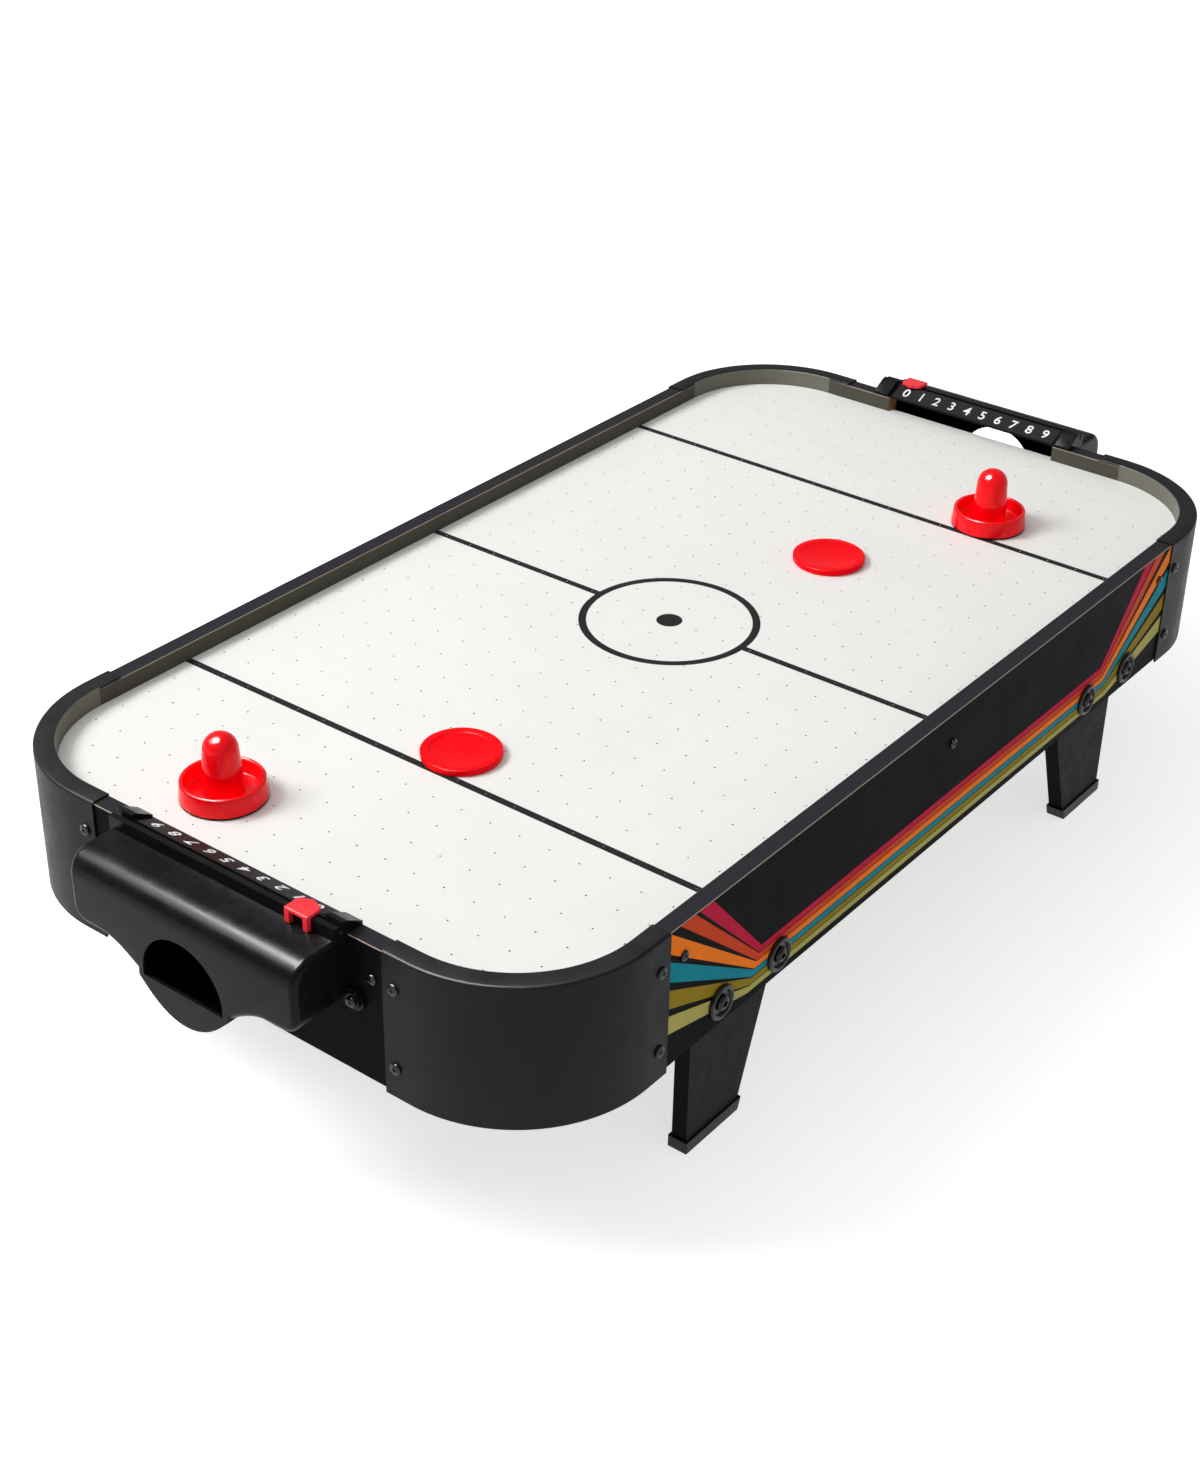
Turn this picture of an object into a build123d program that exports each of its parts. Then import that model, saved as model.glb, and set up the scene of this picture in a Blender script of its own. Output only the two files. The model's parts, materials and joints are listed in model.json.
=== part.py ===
"""Tabletop air hockey table.

Millimetres.  Origin on the floor under the middle of the table, X along the length, Z up.
Every node is written to parts/NODE.step.
"""
from build123d import *
import os
from math import cos, sin, radians, sqrt, ceil

# ---------------------------------------------------------------- driving dimensions
BOARD_LENGTH = 909.2        # outer face to outer face of the end aprons
BOARD_WIDTH = 493.4         # outer face to outer face of the side aprons
WALL = 13.5                 # thickness of the apron boards
APRON_TOP = 210.6
APRON_BOTTOM = 107.6
FIELD_TOP = 198.0           # playing surface above the floor
FIELD_THICKNESS = 6.0
CORNER_REACH = 101.0        # from a board face to the joint with the corner guard
GUARD_OVERLAP = 20.0        # how far the guard's skin runs over each board
SKIN = 1.4                  # skin standing proud of the boards
CAP = 1.5                   # guard cap standing proud of the board tops
GOAL_HALF_WIDTH = 82.0
GOAL_BOX_FRONT = 502.0      # outer face of each goal box
GOAL_BOX_HALF_WIDTH = 98.0
AIR_HOLE_PITCH = 24.6
AIR_HOLE_RADIUS = 0.75
LEG_OUTER_X = 287.0
LEG_THICKNESS = 12.0
BOLT_X = (276.0, 211.0)     # leg bolts, measured from the middle of the table
BOLT_Z = 125.5
DIGIT_PITCH = 15.5          # from one score digit to the next
PUCK_RADIUS = 28.5
PUSHER_RADIUS = 30.0
FLOAT_GAP = 0.3             # pucks and pushers ride this far above the field

# ---------------------------------------------------------------- derived dimensions
BOARD_X = BOARD_LENGTH / 2
BOARD_Y = BOARD_WIDTH / 2
INNER_X = BOARD_X - WALL
INNER_Y = BOARD_Y - WALL
ARC_X = BOARD_X - CORNER_REACH
ARC_Y = BOARD_Y - CORNER_REACH
ARC_INNER = CORNER_REACH - WALL
ARC_SKIN = CORNER_REACH + SKIN
FIELD_BOTTOM = FIELD_TOP - FIELD_THICKNESS
PLENUM_BOTTOM = 161.0
PANEL_THICKNESS = 3.0
PANEL_BOTTOM = PLENUM_BOTTOM - PANEL_THICKNESS
RAIL = 15.0

PARTS = {}
CORNERS = {"front_left": (-1, -1), "front_right": (1, -1), "back_left": (-1, 1), "back_right": (1, 1)}


# ---------------------------------------------------------------- helpers
def block(x0, x1, y0, y1, z0, z1):
    """A box between two opposite corners."""
    centre = ((x0 + x1) / 2, (y0 + y1) / 2, (z0 + z1) / 2)
    return Pos(*centre) * Box(x1 - x0, y1 - y0, z1 - z0)


def rod(x, y, z0, z1, radius):
    """A vertical cylinder."""
    return Pos(x, y, (z0 + z1) / 2) * Cylinder(radius, z1 - z0)


def rod_x(x0, x1, y, z, radius):
    """A cylinder along X."""
    return Pos((x0 + x1) / 2, y, z) * Rot(0, 90, 0) * Cylinder(radius, x1 - x0)


def rod_y(x, y0, y1, z, radius):
    """A cylinder along Y."""
    return Pos(x, (y0 + y1) / 2, z) * Rot(90, 0, 0) * Cylinder(radius, y1 - y0)


def prism(plane, points, depth):
    """A closed outline on a plane, extruded by depth along the plane's normal."""
    face = make_face(Polyline(*points, close=True))
    return extrude(plane * face, amount=depth)


def turned(points):
    """A closed (radius, height) outline turned about Z."""
    face = make_face(Polyline(*points, close=True))
    return revolve(Plane.XZ * face, Axis.Z, 360)


def quadrant(solid, side_x, side_y):
    """A piece drawn in the +X +Y quadrant, mirrored into another one."""
    if side_x < 0:
        solid = mirror(solid, Plane.YZ)
    if side_y < 0:
        solid = mirror(solid, Plane.XZ)
    return solid


def group(solids):
    """Separate solids kept in one node."""
    return Compound(children=[s for item in solids for s in item.solids()])


def pan_screw(length, head_radius=4.2, shank_radius=1.6, head_height=2.2):
    """A cross-head wood screw along +Z: head above z = 0, shank below."""
    dome = head_radius * 0.7
    head = turned([(0, 0), (head_radius, 0), (head_radius, head_height * 0.4),
                   (dome, head_height * 0.85), (dome * 0.5, head_height), (0, head_height)])
    slot = Pos(0, 0, head_height) * (Box(3.6, 0.9, 2.0) + Box(0.9, 3.6, 2.0))
    tip = turned([(0, -length), (shank_radius, -length + 3), (shank_radius, 0), (0, 0)])
    return head - slot + tip


def out_x(sign):
    """Turns +Z to point along X, away from the table."""
    return Rot(0, 90 * sign, 0)


def out_y(sign):
    """Turns +Z to point along Y, away from the table."""
    return Rot(-90 * sign, 0, 0)


# ---------------------------------------------------------------- side and end boards
APRON_SCREW_X = (-318.0, 0.0, 318.0)
APRON_SCREW_Y = 116.5
APRON_SCREW_Z = 186.0
SCREW_HOLE = 1.65


def side_apron(sign):
    """A long board with a raw chamfer along its top edges, leg bolt holes and screw holes."""
    board = block(-ARC_X, ARC_X, INNER_Y, BOARD_Y, APRON_BOTTOM, APRON_TOP)
    board = chamfer(board.edges().filter_by(Axis.X).group_by(Axis.Z)[-1], 0.6)
    for bolt_x in BOLT_X:
        for side in (-1, 1):
            board -= rod_y(side * bolt_x, INNER_Y - 1, BOARD_Y + 1, BOLT_Z, 3.1)
    for x in APRON_SCREW_X:
        board -= rod_y(x, INNER_Y - 1, BOARD_Y + 1, APRON_SCREW_Z, SCREW_HOLE)
    for x, z in guard_screw_spots(ARC_X):
        for side in (-1, 1):
            board -= rod_y(side * x, BOARD_Y - 11, BOARD_Y + 1, z, SCREW_HOLE)
    return board if sign > 0 else mirror(board, Plane.XZ)


def guard_screw_spots(reach):
    """Distance along the board and height of the two guard screws at each end of a board."""
    along = reach - GUARD_OVERLAP + 9.0
    return [(along, 188.0), (along, 128.0)]


def end_apron():
    """A short board whose goal notch is open at the top and holds the field's tongue."""
    board = block(INNER_X, BOARD_X, -ARC_Y, ARC_Y, APRON_BOTTOM, APRON_TOP)
    board = chamfer(board.edges().filter_by(Axis.Y).group_by(Axis.Z)[-1], 0.6)
    board -= block(INNER_X - 1, BOARD_X + 1, -GOAL_HALF_WIDTH, GOAL_HALF_WIDTH, FIELD_BOTTOM, APRON_TOP + 1)
    for side in (-1, 1):
        board -= rod_x(INNER_X - 1, BOARD_X + 1, side * APRON_SCREW_Y, APRON_SCREW_Z, SCREW_HOLE)
        board -= rod_x(BOARD_X - 11, BOARD_X + 1, side * EAR_Y, EAR_Z, SCREW_HOLE)
        for y, z in guard_screw_spots(ARC_Y):
            board -= rod_x(BOARD_X - 11, BOARD_X + 1, side * y, z, SCREW_HOLE)
    return board


# ---------------------------------------------------------------- corner guards
GUARD_TOP = APRON_TOP + CAP
GUARD_BOTTOM = APRON_BOTTOM - 2.4
SHELL = 2.4


def skin_profile(board_face, inner_edge):
    """Section of the skin and cap that wrap a board: along Y from the board face, up in Z."""
    outer = board_face + SKIN
    edge = 1.2
    return [(board_face, GUARD_BOTTOM), (outer, GUARD_BOTTOM), (outer, GUARD_TOP - edge),
            (outer - edge, GUARD_TOP), (inner_edge + 0.5, GUARD_TOP), (inner_edge, GUARD_TOP - 0.5),
            (inner_edge, APRON_TOP), (board_face, APRON_TOP)]


def corner_guard():
    """Moulded quarter-round corner, open underneath, its skin and cap lapping both boards."""
    edge = 1.2
    outer = ARC_SKIN
    section = [(ARC_INNER, GUARD_BOTTOM), (ARC_INNER + SHELL, GUARD_BOTTOM), (ARC_INNER + SHELL, APRON_TOP - 1),
               (outer - SHELL, APRON_TOP - 1), (outer - SHELL, GUARD_BOTTOM), (outer, GUARD_BOTTOM),
               (outer, GUARD_TOP - edge), (outer - edge, GUARD_TOP), (ARC_INNER + 0.5, GUARD_TOP),
               (ARC_INNER, GUARD_TOP - 0.5)]
    bend = revolve(Plane.XZ * make_face(Polyline(*section, close=True)), Axis.Z, 90)
    for angle in (0.75, 45, 89.25):
        web = Pos(ARC_INNER + CORNER_REACH * 0.08, 0, (GUARD_BOTTOM + APRON_TOP) / 2)
        web = web * Box(WALL, 1.5, APRON_TOP - GUARD_BOTTOM - 1)
        bend += Rot(0, 0, angle) * web
    guard = Pos(ARC_X, ARC_Y, 0) * bend
    side_lap = prism(Plane.YZ, skin_profile(BOARD_Y, INNER_Y), GUARD_OVERLAP)
    guard += Pos(ARC_X - GUARD_OVERLAP, 0, 0) * side_lap
    end_lap = prism(Plane.XZ, skin_profile(BOARD_X, INNER_X), GUARD_OVERLAP)
    guard += Pos(0, ARC_Y, 0) * end_lap
    for along, z in guard_screw_spots(ARC_X):
        guard -= rod_y(along, BOARD_Y - 1, BOARD_Y + 5, z, SCREW_HOLE)
    for along, z in guard_screw_spots(ARC_Y):
        guard -= rod_x(BOARD_X - 1, BOARD_X + 5, along, z, SCREW_HOLE)
    return guard


def guard_screws():
    """Four pan-head screws for each corner guard."""
    solids = []
    for side_x, side_y in CORNERS.values():
        for along, z in guard_screw_spots(ARC_X):
            place = Pos(side_x * along, side_y * (BOARD_Y + SKIN), z) * out_y(side_y)
            solids.append(place * pan_screw(11.5))
        for along, z in guard_screw_spots(ARC_Y):
            place = Pos(side_x * (BOARD_X + SKIN), side_y * along, z) * out_x(side_x)
            solids.append(place * pan_screw(11.5))
    return group(solids)


def apron_screws():
    """Screws through the boards into the plenum rails."""
    solids = []
    for side in (-1, 1):
        for x in APRON_SCREW_X:
            solids.append(Pos(x, side * BOARD_Y, APRON_SCREW_Z) * out_y(side) * pan_screw(24, 3.8))
        for y in (-APRON_SCREW_Y, APRON_SCREW_Y):
            solids.append(Pos(side * BOARD_X, y, APRON_SCREW_Z) * out_x(side) * pan_screw(24, 3.8))
    return group(solids)


# ---------------------------------------------------------------- field and plenum
def playfield():
    """Rounded sheet with a square grid of air holes and a tongue into each goal notch."""
    gap = 0.2
    half_x = INNER_X - gap
    half_y = INNER_Y - gap
    outline = RectangleRounded(2 * half_x, 2 * half_y, ARC_INNER - gap)
    tongue = Rectangle(2 * (INNER_X + 6.0), 2 * (GOAL_HALF_WIDTH - 0.3))
    sheet = outline + tongue
    columns = int((half_x - 12) // AIR_HOLE_PITCH)
    rows = int((half_y - 8) // AIR_HOLE_PITCH)
    spots = []
    for column in range(-columns, columns + 1):
        for row in range(-rows, rows + 1):
            x = column * AIR_HOLE_PITCH
            y = row * AIR_HOLE_PITCH
            over_x = max(abs(x) - ARC_X, 0)
            over_y = max(abs(y) - ARC_Y, 0)
            if sqrt(over_x ** 2 + over_y ** 2) < ARC_INNER - 8:
                spots.append((x, y))
    sheet -= [Pos(x, y) * Circle(AIR_HOLE_RADIUS) for x, y in spots]
    return Pos(0, 0, FIELD_BOTTOM) * extrude(sheet, amount=FIELD_THICKNESS)


RAIL_END_X = 345.0
RAIL_END_Y = 137.0


def side_rail(sign):
    """Wooden rail along a long board, with pilot holes for the apron screws."""
    y = INNER_Y - RAIL
    rail = block(-RAIL_END_X, RAIL_END_X, y, INNER_Y, PLENUM_BOTTOM, FIELD_BOTTOM)
    for x in APRON_SCREW_X:
        rail -= rod_y(x, INNER_Y - 11, INNER_Y + 1, APRON_SCREW_Z, SCREW_HOLE)
    for x, y_panel in PANEL_SCREWS:
        rail -= rod(x, abs(y_panel), PLENUM_BOTTOM - 1, PLENUM_BOTTOM + 10, SCREW_HOLE)
    return rail if sign > 0 else mirror(rail, Plane.XZ)


def end_rail(sign):
    """Wooden rail along an end board."""
    rail = block(INNER_X - RAIL, INNER_X, -RAIL_END_Y, RAIL_END_Y, PLENUM_BOTTOM, FIELD_BOTTOM)
    for y in (-APRON_SCREW_Y, APRON_SCREW_Y):
        rail -= rod_x(INNER_X - 11, INNER_X + 1, y, APRON_SCREW_Z, SCREW_HOLE)
    return rail if sign > 0 else mirror(rail, Plane.YZ)


def corner_blocks():
    """Diagonal blocks that close the plenum's corners between the rail ends."""
    near = (RAIL_END_X + 0.2, INNER_Y - 0.2)
    far = (INNER_X - 0.2, RAIL_END_Y + 0.2)
    reach = RAIL * 1.25
    outline = [near, far, (far[0] - reach, far[1]), (near[0], near[1] - reach)]
    solid = Pos(0, 0, PLENUM_BOTTOM) * extrude(make_face(Polyline(*outline, close=True)), amount=31.0)
    return group([quadrant(solid, sx, sy) for sx, sy in CORNERS.values()])


PANEL_SCREWS = [(x, side * (INNER_Y - RAIL / 2)) for side in (-1, 1) for x in (-300, -150, 0, 150, 300)]
PLENUM_INLET = 44.0


def bottom_panel():
    """Hardboard that closes the plenum from below, with the fan's inlet in the middle."""
    half_x = INNER_X - 0.3
    half_y = INNER_Y - 0.3
    cut_x = half_x - RAIL_END_X
    cut_y = half_y - RAIL_END_Y
    outline = [(half_x, -half_y + cut_y), (half_x, half_y - cut_y), (half_x - cut_x, half_y),
               (-half_x + cut_x, half_y), (-half_x, half_y - cut_y), (-half_x, -half_y + cut_y),
               (-half_x + cut_x, -half_y), (half_x - cut_x, -half_y)]
    sheet = make_face(Polyline(*outline, close=True)) - Circle(PLENUM_INLET)
    panel = Pos(0, 0, PANEL_BOTTOM) * extrude(sheet, amount=PANEL_THICKNESS)
    for x, y in PANEL_SCREWS:
        panel -= rod(x, y, PANEL_BOTTOM - 1, PLENUM_BOTTOM + 1, SCREW_HOLE)
    for x, y in fan_corners():
        panel -= rod(x, y, PANEL_BOTTOM - 1, PLENUM_BOTTOM + 1, SCREW_HOLE)
    return panel


def panel_screws():
    """Screws that hold the bottom panel to the side rails."""
    return group([Pos(x, y, PANEL_BOTTOM) * Rot(180, 0, 0) * pan_screw(12) for x, y in PANEL_SCREWS])


# ---------------------------------------------------------------- fan
FAN_HALF = 52.0
FAN_HEIGHT = 28.0
FAN_BOTTOM = PANEL_BOTTOM - FAN_HEIGHT
FAN_BORE = 46.0
FAN_SCREW = 45.5
GRILLE_THICKNESS = 2.0
HUB_RADIUS = 19.0
MOTOR_RADIUS = 15.5
SHAFT_RADIUS = 1.5


def fan_corners():
    """Places of the fan's four corner screws."""
    return [(sx * FAN_SCREW, sy * FAN_SCREW) for sx in (-1, 1) for sy in (-1, 1)]


def fan_housing():
    """Square frame with a round duct and a three-armed motor mount at its top."""
    frame = fillet(Box(2 * FAN_HALF, 2 * FAN_HALF, FAN_HEIGHT).edges().filter_by(Axis.Z), 7)
    frame = Pos(0, 0, FAN_BOTTOM + FAN_HEIGHT / 2) * frame
    frame -= rod(0, 0, FAN_BOTTOM - 1, PANEL_BOTTOM + 1, FAN_BORE)
    arm_bottom = PANEL_BOTTOM - 3.0
    for angle in (30, 150, 270):
        arm = Pos(FAN_BORE / 2 + 6, 0, PANEL_BOTTOM - 1.5) * Box(FAN_BORE - 10, 4.5, 3.0)
        frame += Rot(0, 0, angle) * arm
    frame += rod(0, 0, arm_bottom, PANEL_BOTTOM, MOTOR_RADIUS + 2)
    for x, y in fan_corners():
        frame -= rod(x, y, FAN_BOTTOM - 1, PANEL_BOTTOM + 1, 1.9)
    return frame


def fan_grille():
    """Ring guard over the fan's intake: concentric rings, four spokes and screw lugs."""
    top = FAN_BOTTOM
    bottom = top - GRILLE_THICKNESS
    guard = rod(0, 0, bottom, top, 8)
    for radius in (16, 24, 32, 40, 48):
        guard += rod(0, 0, bottom, top, radius + 1.1) - rod(0, 0, bottom - 1, top + 1, radius - 1.1)
    for angle in (45, 135):
        spoke = Pos(0, 0, (bottom + top) / 2) * Box(2 * FAN_SCREW * sqrt(2), 3.5, GRILLE_THICKNESS)
        guard += Rot(0, 0, angle) * spoke
    for x, y in fan_corners():
        guard += rod(x, y, bottom, top, 5.5)
    for x, y in fan_corners():
        guard -= rod(x, y, bottom - 1, top + 1, 1.9)
    return guard


def fan_screws():
    """Long screws through the grille and the housing into the bottom panel."""
    z = FAN_BOTTOM - GRILLE_THICKNESS
    return group([Pos(x, y, z) * Rot(180, 0, 0) * pan_screw(FAN_HEIGHT + 4.5, 3.6) for x, y in fan_corners()])


def fan_motor():
    """Outrunner stator hanging from the motor mount, bored for the shaft."""
    top = PANEL_BOTTOM - 3.0
    body = rod(0, 0, top - 14, top, MOTOR_RADIUS)
    return body - rod(0, 0, top - 15, top + 1, SHAFT_RADIUS + 0.05)


def fan_impeller():
    """Hub cup over the motor with seven pitched blades."""
    top = PANEL_BOTTOM - 4.5
    bottom = FAN_BOTTOM + 2.5
    hub = rod(0, 0, bottom, top, HUB_RADIUS) - rod(0, 0, bottom + 3.5, top + 1, HUB_RADIUS - 2)
    middle = (HUB_RADIUS + FAN_BORE - 2.0) / 2
    for blade in range(7):
        vane = Rot(38, 0, 0) * Box(FAN_BORE - 2.0 - HUB_RADIUS + 3, 21, 1.6)
        hub += Rot(0, 0, blade * 360 / 7) * Pos(middle - 0.7, 0, (top + bottom) / 2) * vane
    hub &= rod(0, 0, bottom, top, FAN_BORE - 2.0)
    hub -= rod(0, 0, bottom + 3.5, top + 1, HUB_RADIUS - 2)
    return hub - rod(0, 0, bottom - 1, top, SHAFT_RADIUS)


def fan_shaft():
    """Steel shaft pressed into the hub and running in the motor."""
    return rod(0, 0, FAN_BOTTOM + 2.5, PANEL_BOTTOM - 5.0, SHAFT_RADIUS)


# ---------------------------------------------------------------- power switch and inlet
SWITCH_X = 60.0
SWITCH_Z = 136.0
INLET_X = 92.0
PIVOT_Y = BOARD_Y + 0.6
ROCKER_ANGLE = 10.0


def cut_back_apron(board):
    """The back board also has the cut-outs of the switch and the inlet."""
    board -= block(SWITCH_X - 6.5, SWITCH_X + 6.5, INNER_Y - 1, BOARD_Y + 1, SWITCH_Z - 9.6, SWITCH_Z + 9.6)
    return board - rod_y(INLET_X, INNER_Y - 1, BOARD_Y + 1, SWITCH_Z, 5.6)


def switch_body():
    """Snap-in switch case with a bezel, an open window and two tabs behind."""
    case = block(SWITCH_X - 7.5, SWITCH_X + 7.5, BOARD_Y, BOARD_Y + 1.8, SWITCH_Z - 10.5, SWITCH_Z + 10.5)
    case = fillet(case.edges().filter_by(Axis.Y), 1.2)
    case += block(SWITCH_X - 6.4, SWITCH_X + 6.4, BOARD_Y - 17, BOARD_Y + 0.5, SWITCH_Z - 9.5, SWITCH_Z + 9.5)
    case -= block(SWITCH_X - 5.0, SWITCH_X + 5.0, BOARD_Y - 9, BOARD_Y + 3, SWITCH_Z - 7.9, SWITCH_Z + 7.9)
    case -= rod_x(SWITCH_X - 5.8, SWITCH_X + 5.8, PIVOT_Y - 1.6, SWITCH_Z, 1.05)
    for z in (SWITCH_Z - 4, SWITCH_Z + 4):
        case += block(SWITCH_X - 2.4, SWITCH_X + 2.4, BOARD_Y - 24, BOARD_Y - 16, z - 0.4, z + 0.4)
    return case


def switch_rocker():
    """Two-way rocker on its own pivot pins, stored in the off position."""
    outline = [(3.6, -6.5), (2.0, 0), (3.6, 6.5), (-3.0, 6.0), (-3.0, -6.0)]
    body = Pos(-4.7, 0, 0) * prism(Plane.YZ, outline, 9.4)
    body += rod_x(-5.6, 5.6, 0, 0, 1.0)
    return Pos(SWITCH_X, PIVOT_Y - 1.6, SWITCH_Z) * Rot(-ROCKER_ANGLE, 0, 0) * body


def power_inlet():
    """Barrel inlet with a flange, a socket and a centre pin."""
    body = rod_y(INLET_X, BOARD_Y, BOARD_Y + 1.5, SWITCH_Z, 7.2)
    body += rod_y(INLET_X, BOARD_Y - 16, BOARD_Y, SWITCH_Z, 5.5)
    body -= rod_y(INLET_X, BOARD_Y - 8, BOARD_Y + 2, SWITCH_Z, 3.1)
    return body + rod_y(INLET_X, BOARD_Y - 9, BOARD_Y - 0.5, SWITCH_Z, 1.0)


# ---------------------------------------------------------------- goal boxes
BOX_WALL = 2.5
BOX_END_BOTTOM = 160.0
SILL = 145.0
TRAY_HALF_WIDTH = 39.2
TRAY_BOTTOM = 121.0
ARCH_RADIUS = 35.0
ROUND_TOP = 17.0
BOX_EDGE = 4.5              # rounding of the outer edges of the goal box
EAR_Y = 103.5
EAR_Z = 166.0
PANEL_LOW = (INNER_X + 0.4, APRON_TOP + 0.9)
PANEL_HIGH = (459.0, 219.0)
LIP_INNER = 461.2
LIP_OUTER = 465.6
LIP_TOP = 219.4
PANEL_HALF = 84.0


def goal_front(inset):
    """Front outline of a goal box on the YZ plane, drawn inside its edge by inset."""
    half = GOAL_BOX_HALF_WIDTH - inset
    top = APRON_TOP - inset
    bottom = BOX_END_BOTTOM + inset
    tray = TRAY_HALF_WIDTH - inset
    floor = TRAY_BOTTOM + inset
    shoulder = SILL - 2.0 + 0.4 * inset
    neck = SILL + inset
    flare = 74.0
    corner = 12.0 - inset
    slope_top = (33.0 - 0.7 * inset, 137.0 + 0.7 * inset)
    slope_foot = (20.0 - 0.4 * inset, floor)
    curve = Line((-half, top), (half, top))
    curve += Line((half, top), (half, bottom + corner))
    curve += RadiusArc((half, bottom + corner), (half - corner, bottom), corner)
    curve += Line((half - corner, bottom), (flare, bottom))
    curve += Bezier((flare, bottom), (62.0, bottom), (50.0 - 0.5 * inset, 152.0 + inset), (tray, neck))
    curve += Line((tray, neck), (tray, shoulder))
    curve += Bezier((tray, shoulder), slope_top, slope_foot, (0, floor))
    curve += Bezier((0, floor), (-slope_foot[0], floor), (-slope_top[0], slope_top[1]), (-tray, shoulder))
    curve += Line((-tray, shoulder), (-tray, neck))
    curve += Bezier((-tray, neck), (-50.0 + 0.5 * inset, 152.0 + inset), (-62.0, bottom), (-flare, bottom))
    curve += Line((-flare, bottom), (-half + corner, bottom))
    curve += RadiusArc((-half + corner, bottom), (-half, bottom + corner), corner)
    curve += Line((-half, bottom + corner), (-half, top))
    return make_face(curve)


def goal_profile(inset, back):
    """Side outline of a goal box on the XZ plane: flat top, quarter-round, upright front."""
    front = GOAL_BOX_FRONT - inset
    top = APRON_TOP - inset
    radius = ROUND_TOP - inset
    curve = Line((back, 100), (back, top))
    curve += Line((back, top), (front - radius, top))
    curve += RadiusArc((front - radius, top), (front, top - radius), radius)
    curve += Line((front, top - radius), (front, 100))
    curve += Line((front, 100), (back, 100))
    return make_face(curve)


def goal_shape(inset, back):
    """The full volume inside both goal box outlines."""
    front = Pos(back, 0, 0) * extrude(Plane.YZ * goal_front(inset), amount=80)
    side = Pos(0, 200, 0) * extrude(Plane.XZ * goal_profile(inset, back), amount=400)
    return front & side


def goal_box():
    """Goal cover: catcher box, arched hand hole, sloped score panel, slider lip and screw ears."""
    back = BOARD_X + 0.1
    box = goal_shape(0, back)
    outer_edges = [edge for edge in box.edges() if edge.bounding_box().max.X > back + 1]
    box = fillet([edge for edge in outer_edges if abs(edge.bounding_box().center().Y) > 73.9], BOX_EDGE)
    box -= goal_shape(BOX_WALL, back - 1)
    arch = rod_x(GOAL_BOX_FRONT - 5, GOAL_BOX_FRONT + 1, 0, SILL + 4.5, ARCH_RADIUS)
    arch += block(GOAL_BOX_FRONT - 5, GOAL_BOX_FRONT + 1, -ARCH_RADIUS, ARCH_RADIUS, SILL, SILL + 5)
    arch &= block(GOAL_BOX_FRONT - 6, GOAL_BOX_FRONT + 2, -ARCH_RADIUS, ARCH_RADIUS, SILL, APRON_TOP)
    box -= arch
    half = GOAL_BOX_HALF_WIDTH
    cover = [PANEL_LOW, PANEL_HIGH, (459.0, 214.4), (LIP_INNER, 214.4), (LIP_INNER, LIP_TOP),
             (LIP_OUTER, LIP_TOP), (LIP_OUTER, APRON_TOP - BOX_WALL), (BOARD_X + 0.1, APRON_TOP - BOX_WALL),
             (BOARD_X + 0.1, APRON_TOP + 0.1), (INNER_X + 0.4, APRON_TOP + 0.1)]
    box += Pos(0, half, 0) * prism(Plane.XZ, cover, 2 * half)
    hollow = [(INNER_X + 4.4, APRON_TOP), (457.0, 216.0), (457.0, 212.4), (463.0, 212.4), (463.0, APRON_TOP - 4),
              (INNER_X + 4.4, APRON_TOP - 4)]
    box -= Pos(0, GOAL_HALF_WIDTH, 0) * prism(Plane.XZ, hollow, 2 * GOAL_HALF_WIDTH)
    for side in (-1, 1):
        cheek = [(INNER_X + 0.4, APRON_TOP + 0.1), (INNER_X + 0.4, 213.2), (454.0, 220.4), (458.6, 221.4),
                 (458.6, APRON_TOP + 0.1)]
        wedge = Pos(0, side * (half + PANEL_HALF) / 2 + (half - PANEL_HALF) / 2, 0)
        box += wedge * prism(Plane.XZ, cheek, half - PANEL_HALF)
        ear = rod_x(back, back + 3.0, side * EAR_Y, EAR_Z, 7.5)
        ear += rod_x(back, back + 5.0, side * EAR_Y, EAR_Z, 5.6)
        ear += block(back, back + 3.0, min(side * (half - 2), side * EAR_Y), max(side * (half - 2), side * EAR_Y),
                     EAR_Z - 7.5, EAR_Z + 7.5)
        box += ear
        box -= rod_x(back - 1, back + 6, side * EAR_Y, EAR_Z, 1.9)
    return box


def score_strip():
    """Thin printed strip on the sloped panel, between the two end wedges."""
    (x0, z0), (x1, z1) = PANEL_LOW, PANEL_HIGH
    length = sqrt((x1 - x0) ** 2 + (z1 - z0) ** 2)
    along = ((x1 - x0) / length, (z1 - z0) / length)
    normal = (-along[1], along[0])
    start = (x0 + along[0] * 1.2, z0 + along[1] * 1.2)
    finish = (x1 - along[0] * 1.0, z1 - along[1] * 1.0)
    rise = 0.3
    outline = [start, finish, (finish[0] + normal[0] * rise, finish[1] + normal[1] * rise),
               (start[0] + normal[0] * rise, start[1] + normal[1] * rise)]
    return Pos(0, 80, 0) * prism(Plane.XZ, outline, 160)


def score_slider():
    """Pointer plate that straddles the lip: a tongue in the groove and two prongs outside."""
    middle = 4.5 * DIGIT_PITCH
    back = 469.4
    outline = [(back, -9.6), (back, 9.6), (459.0, 9.6), (456.2, 8.4), (452.6, 0), (456.2, -8.4), (459.0, -9.6)]
    z = LIP_TOP + 0.3
    slider = Pos(0, 0, z) * extrude(make_face(Polyline(*outline, close=True)), amount=2.6)
    slider = chamfer(slider.edges().group_by(Axis.Z)[-1], 0.5)
    slider += block(459.4, 460.8, -7.0, 7.0, 215.0, z + 0.5)
    for side in (-1, 1):
        y0 = side * 7.6
        slider += block(LIP_OUTER + 0.35, back, y0 - 2.0, y0 + 2.0, APRON_TOP + 0.5, z + 0.5)
    return Pos(0, middle, 0) * slider


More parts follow.
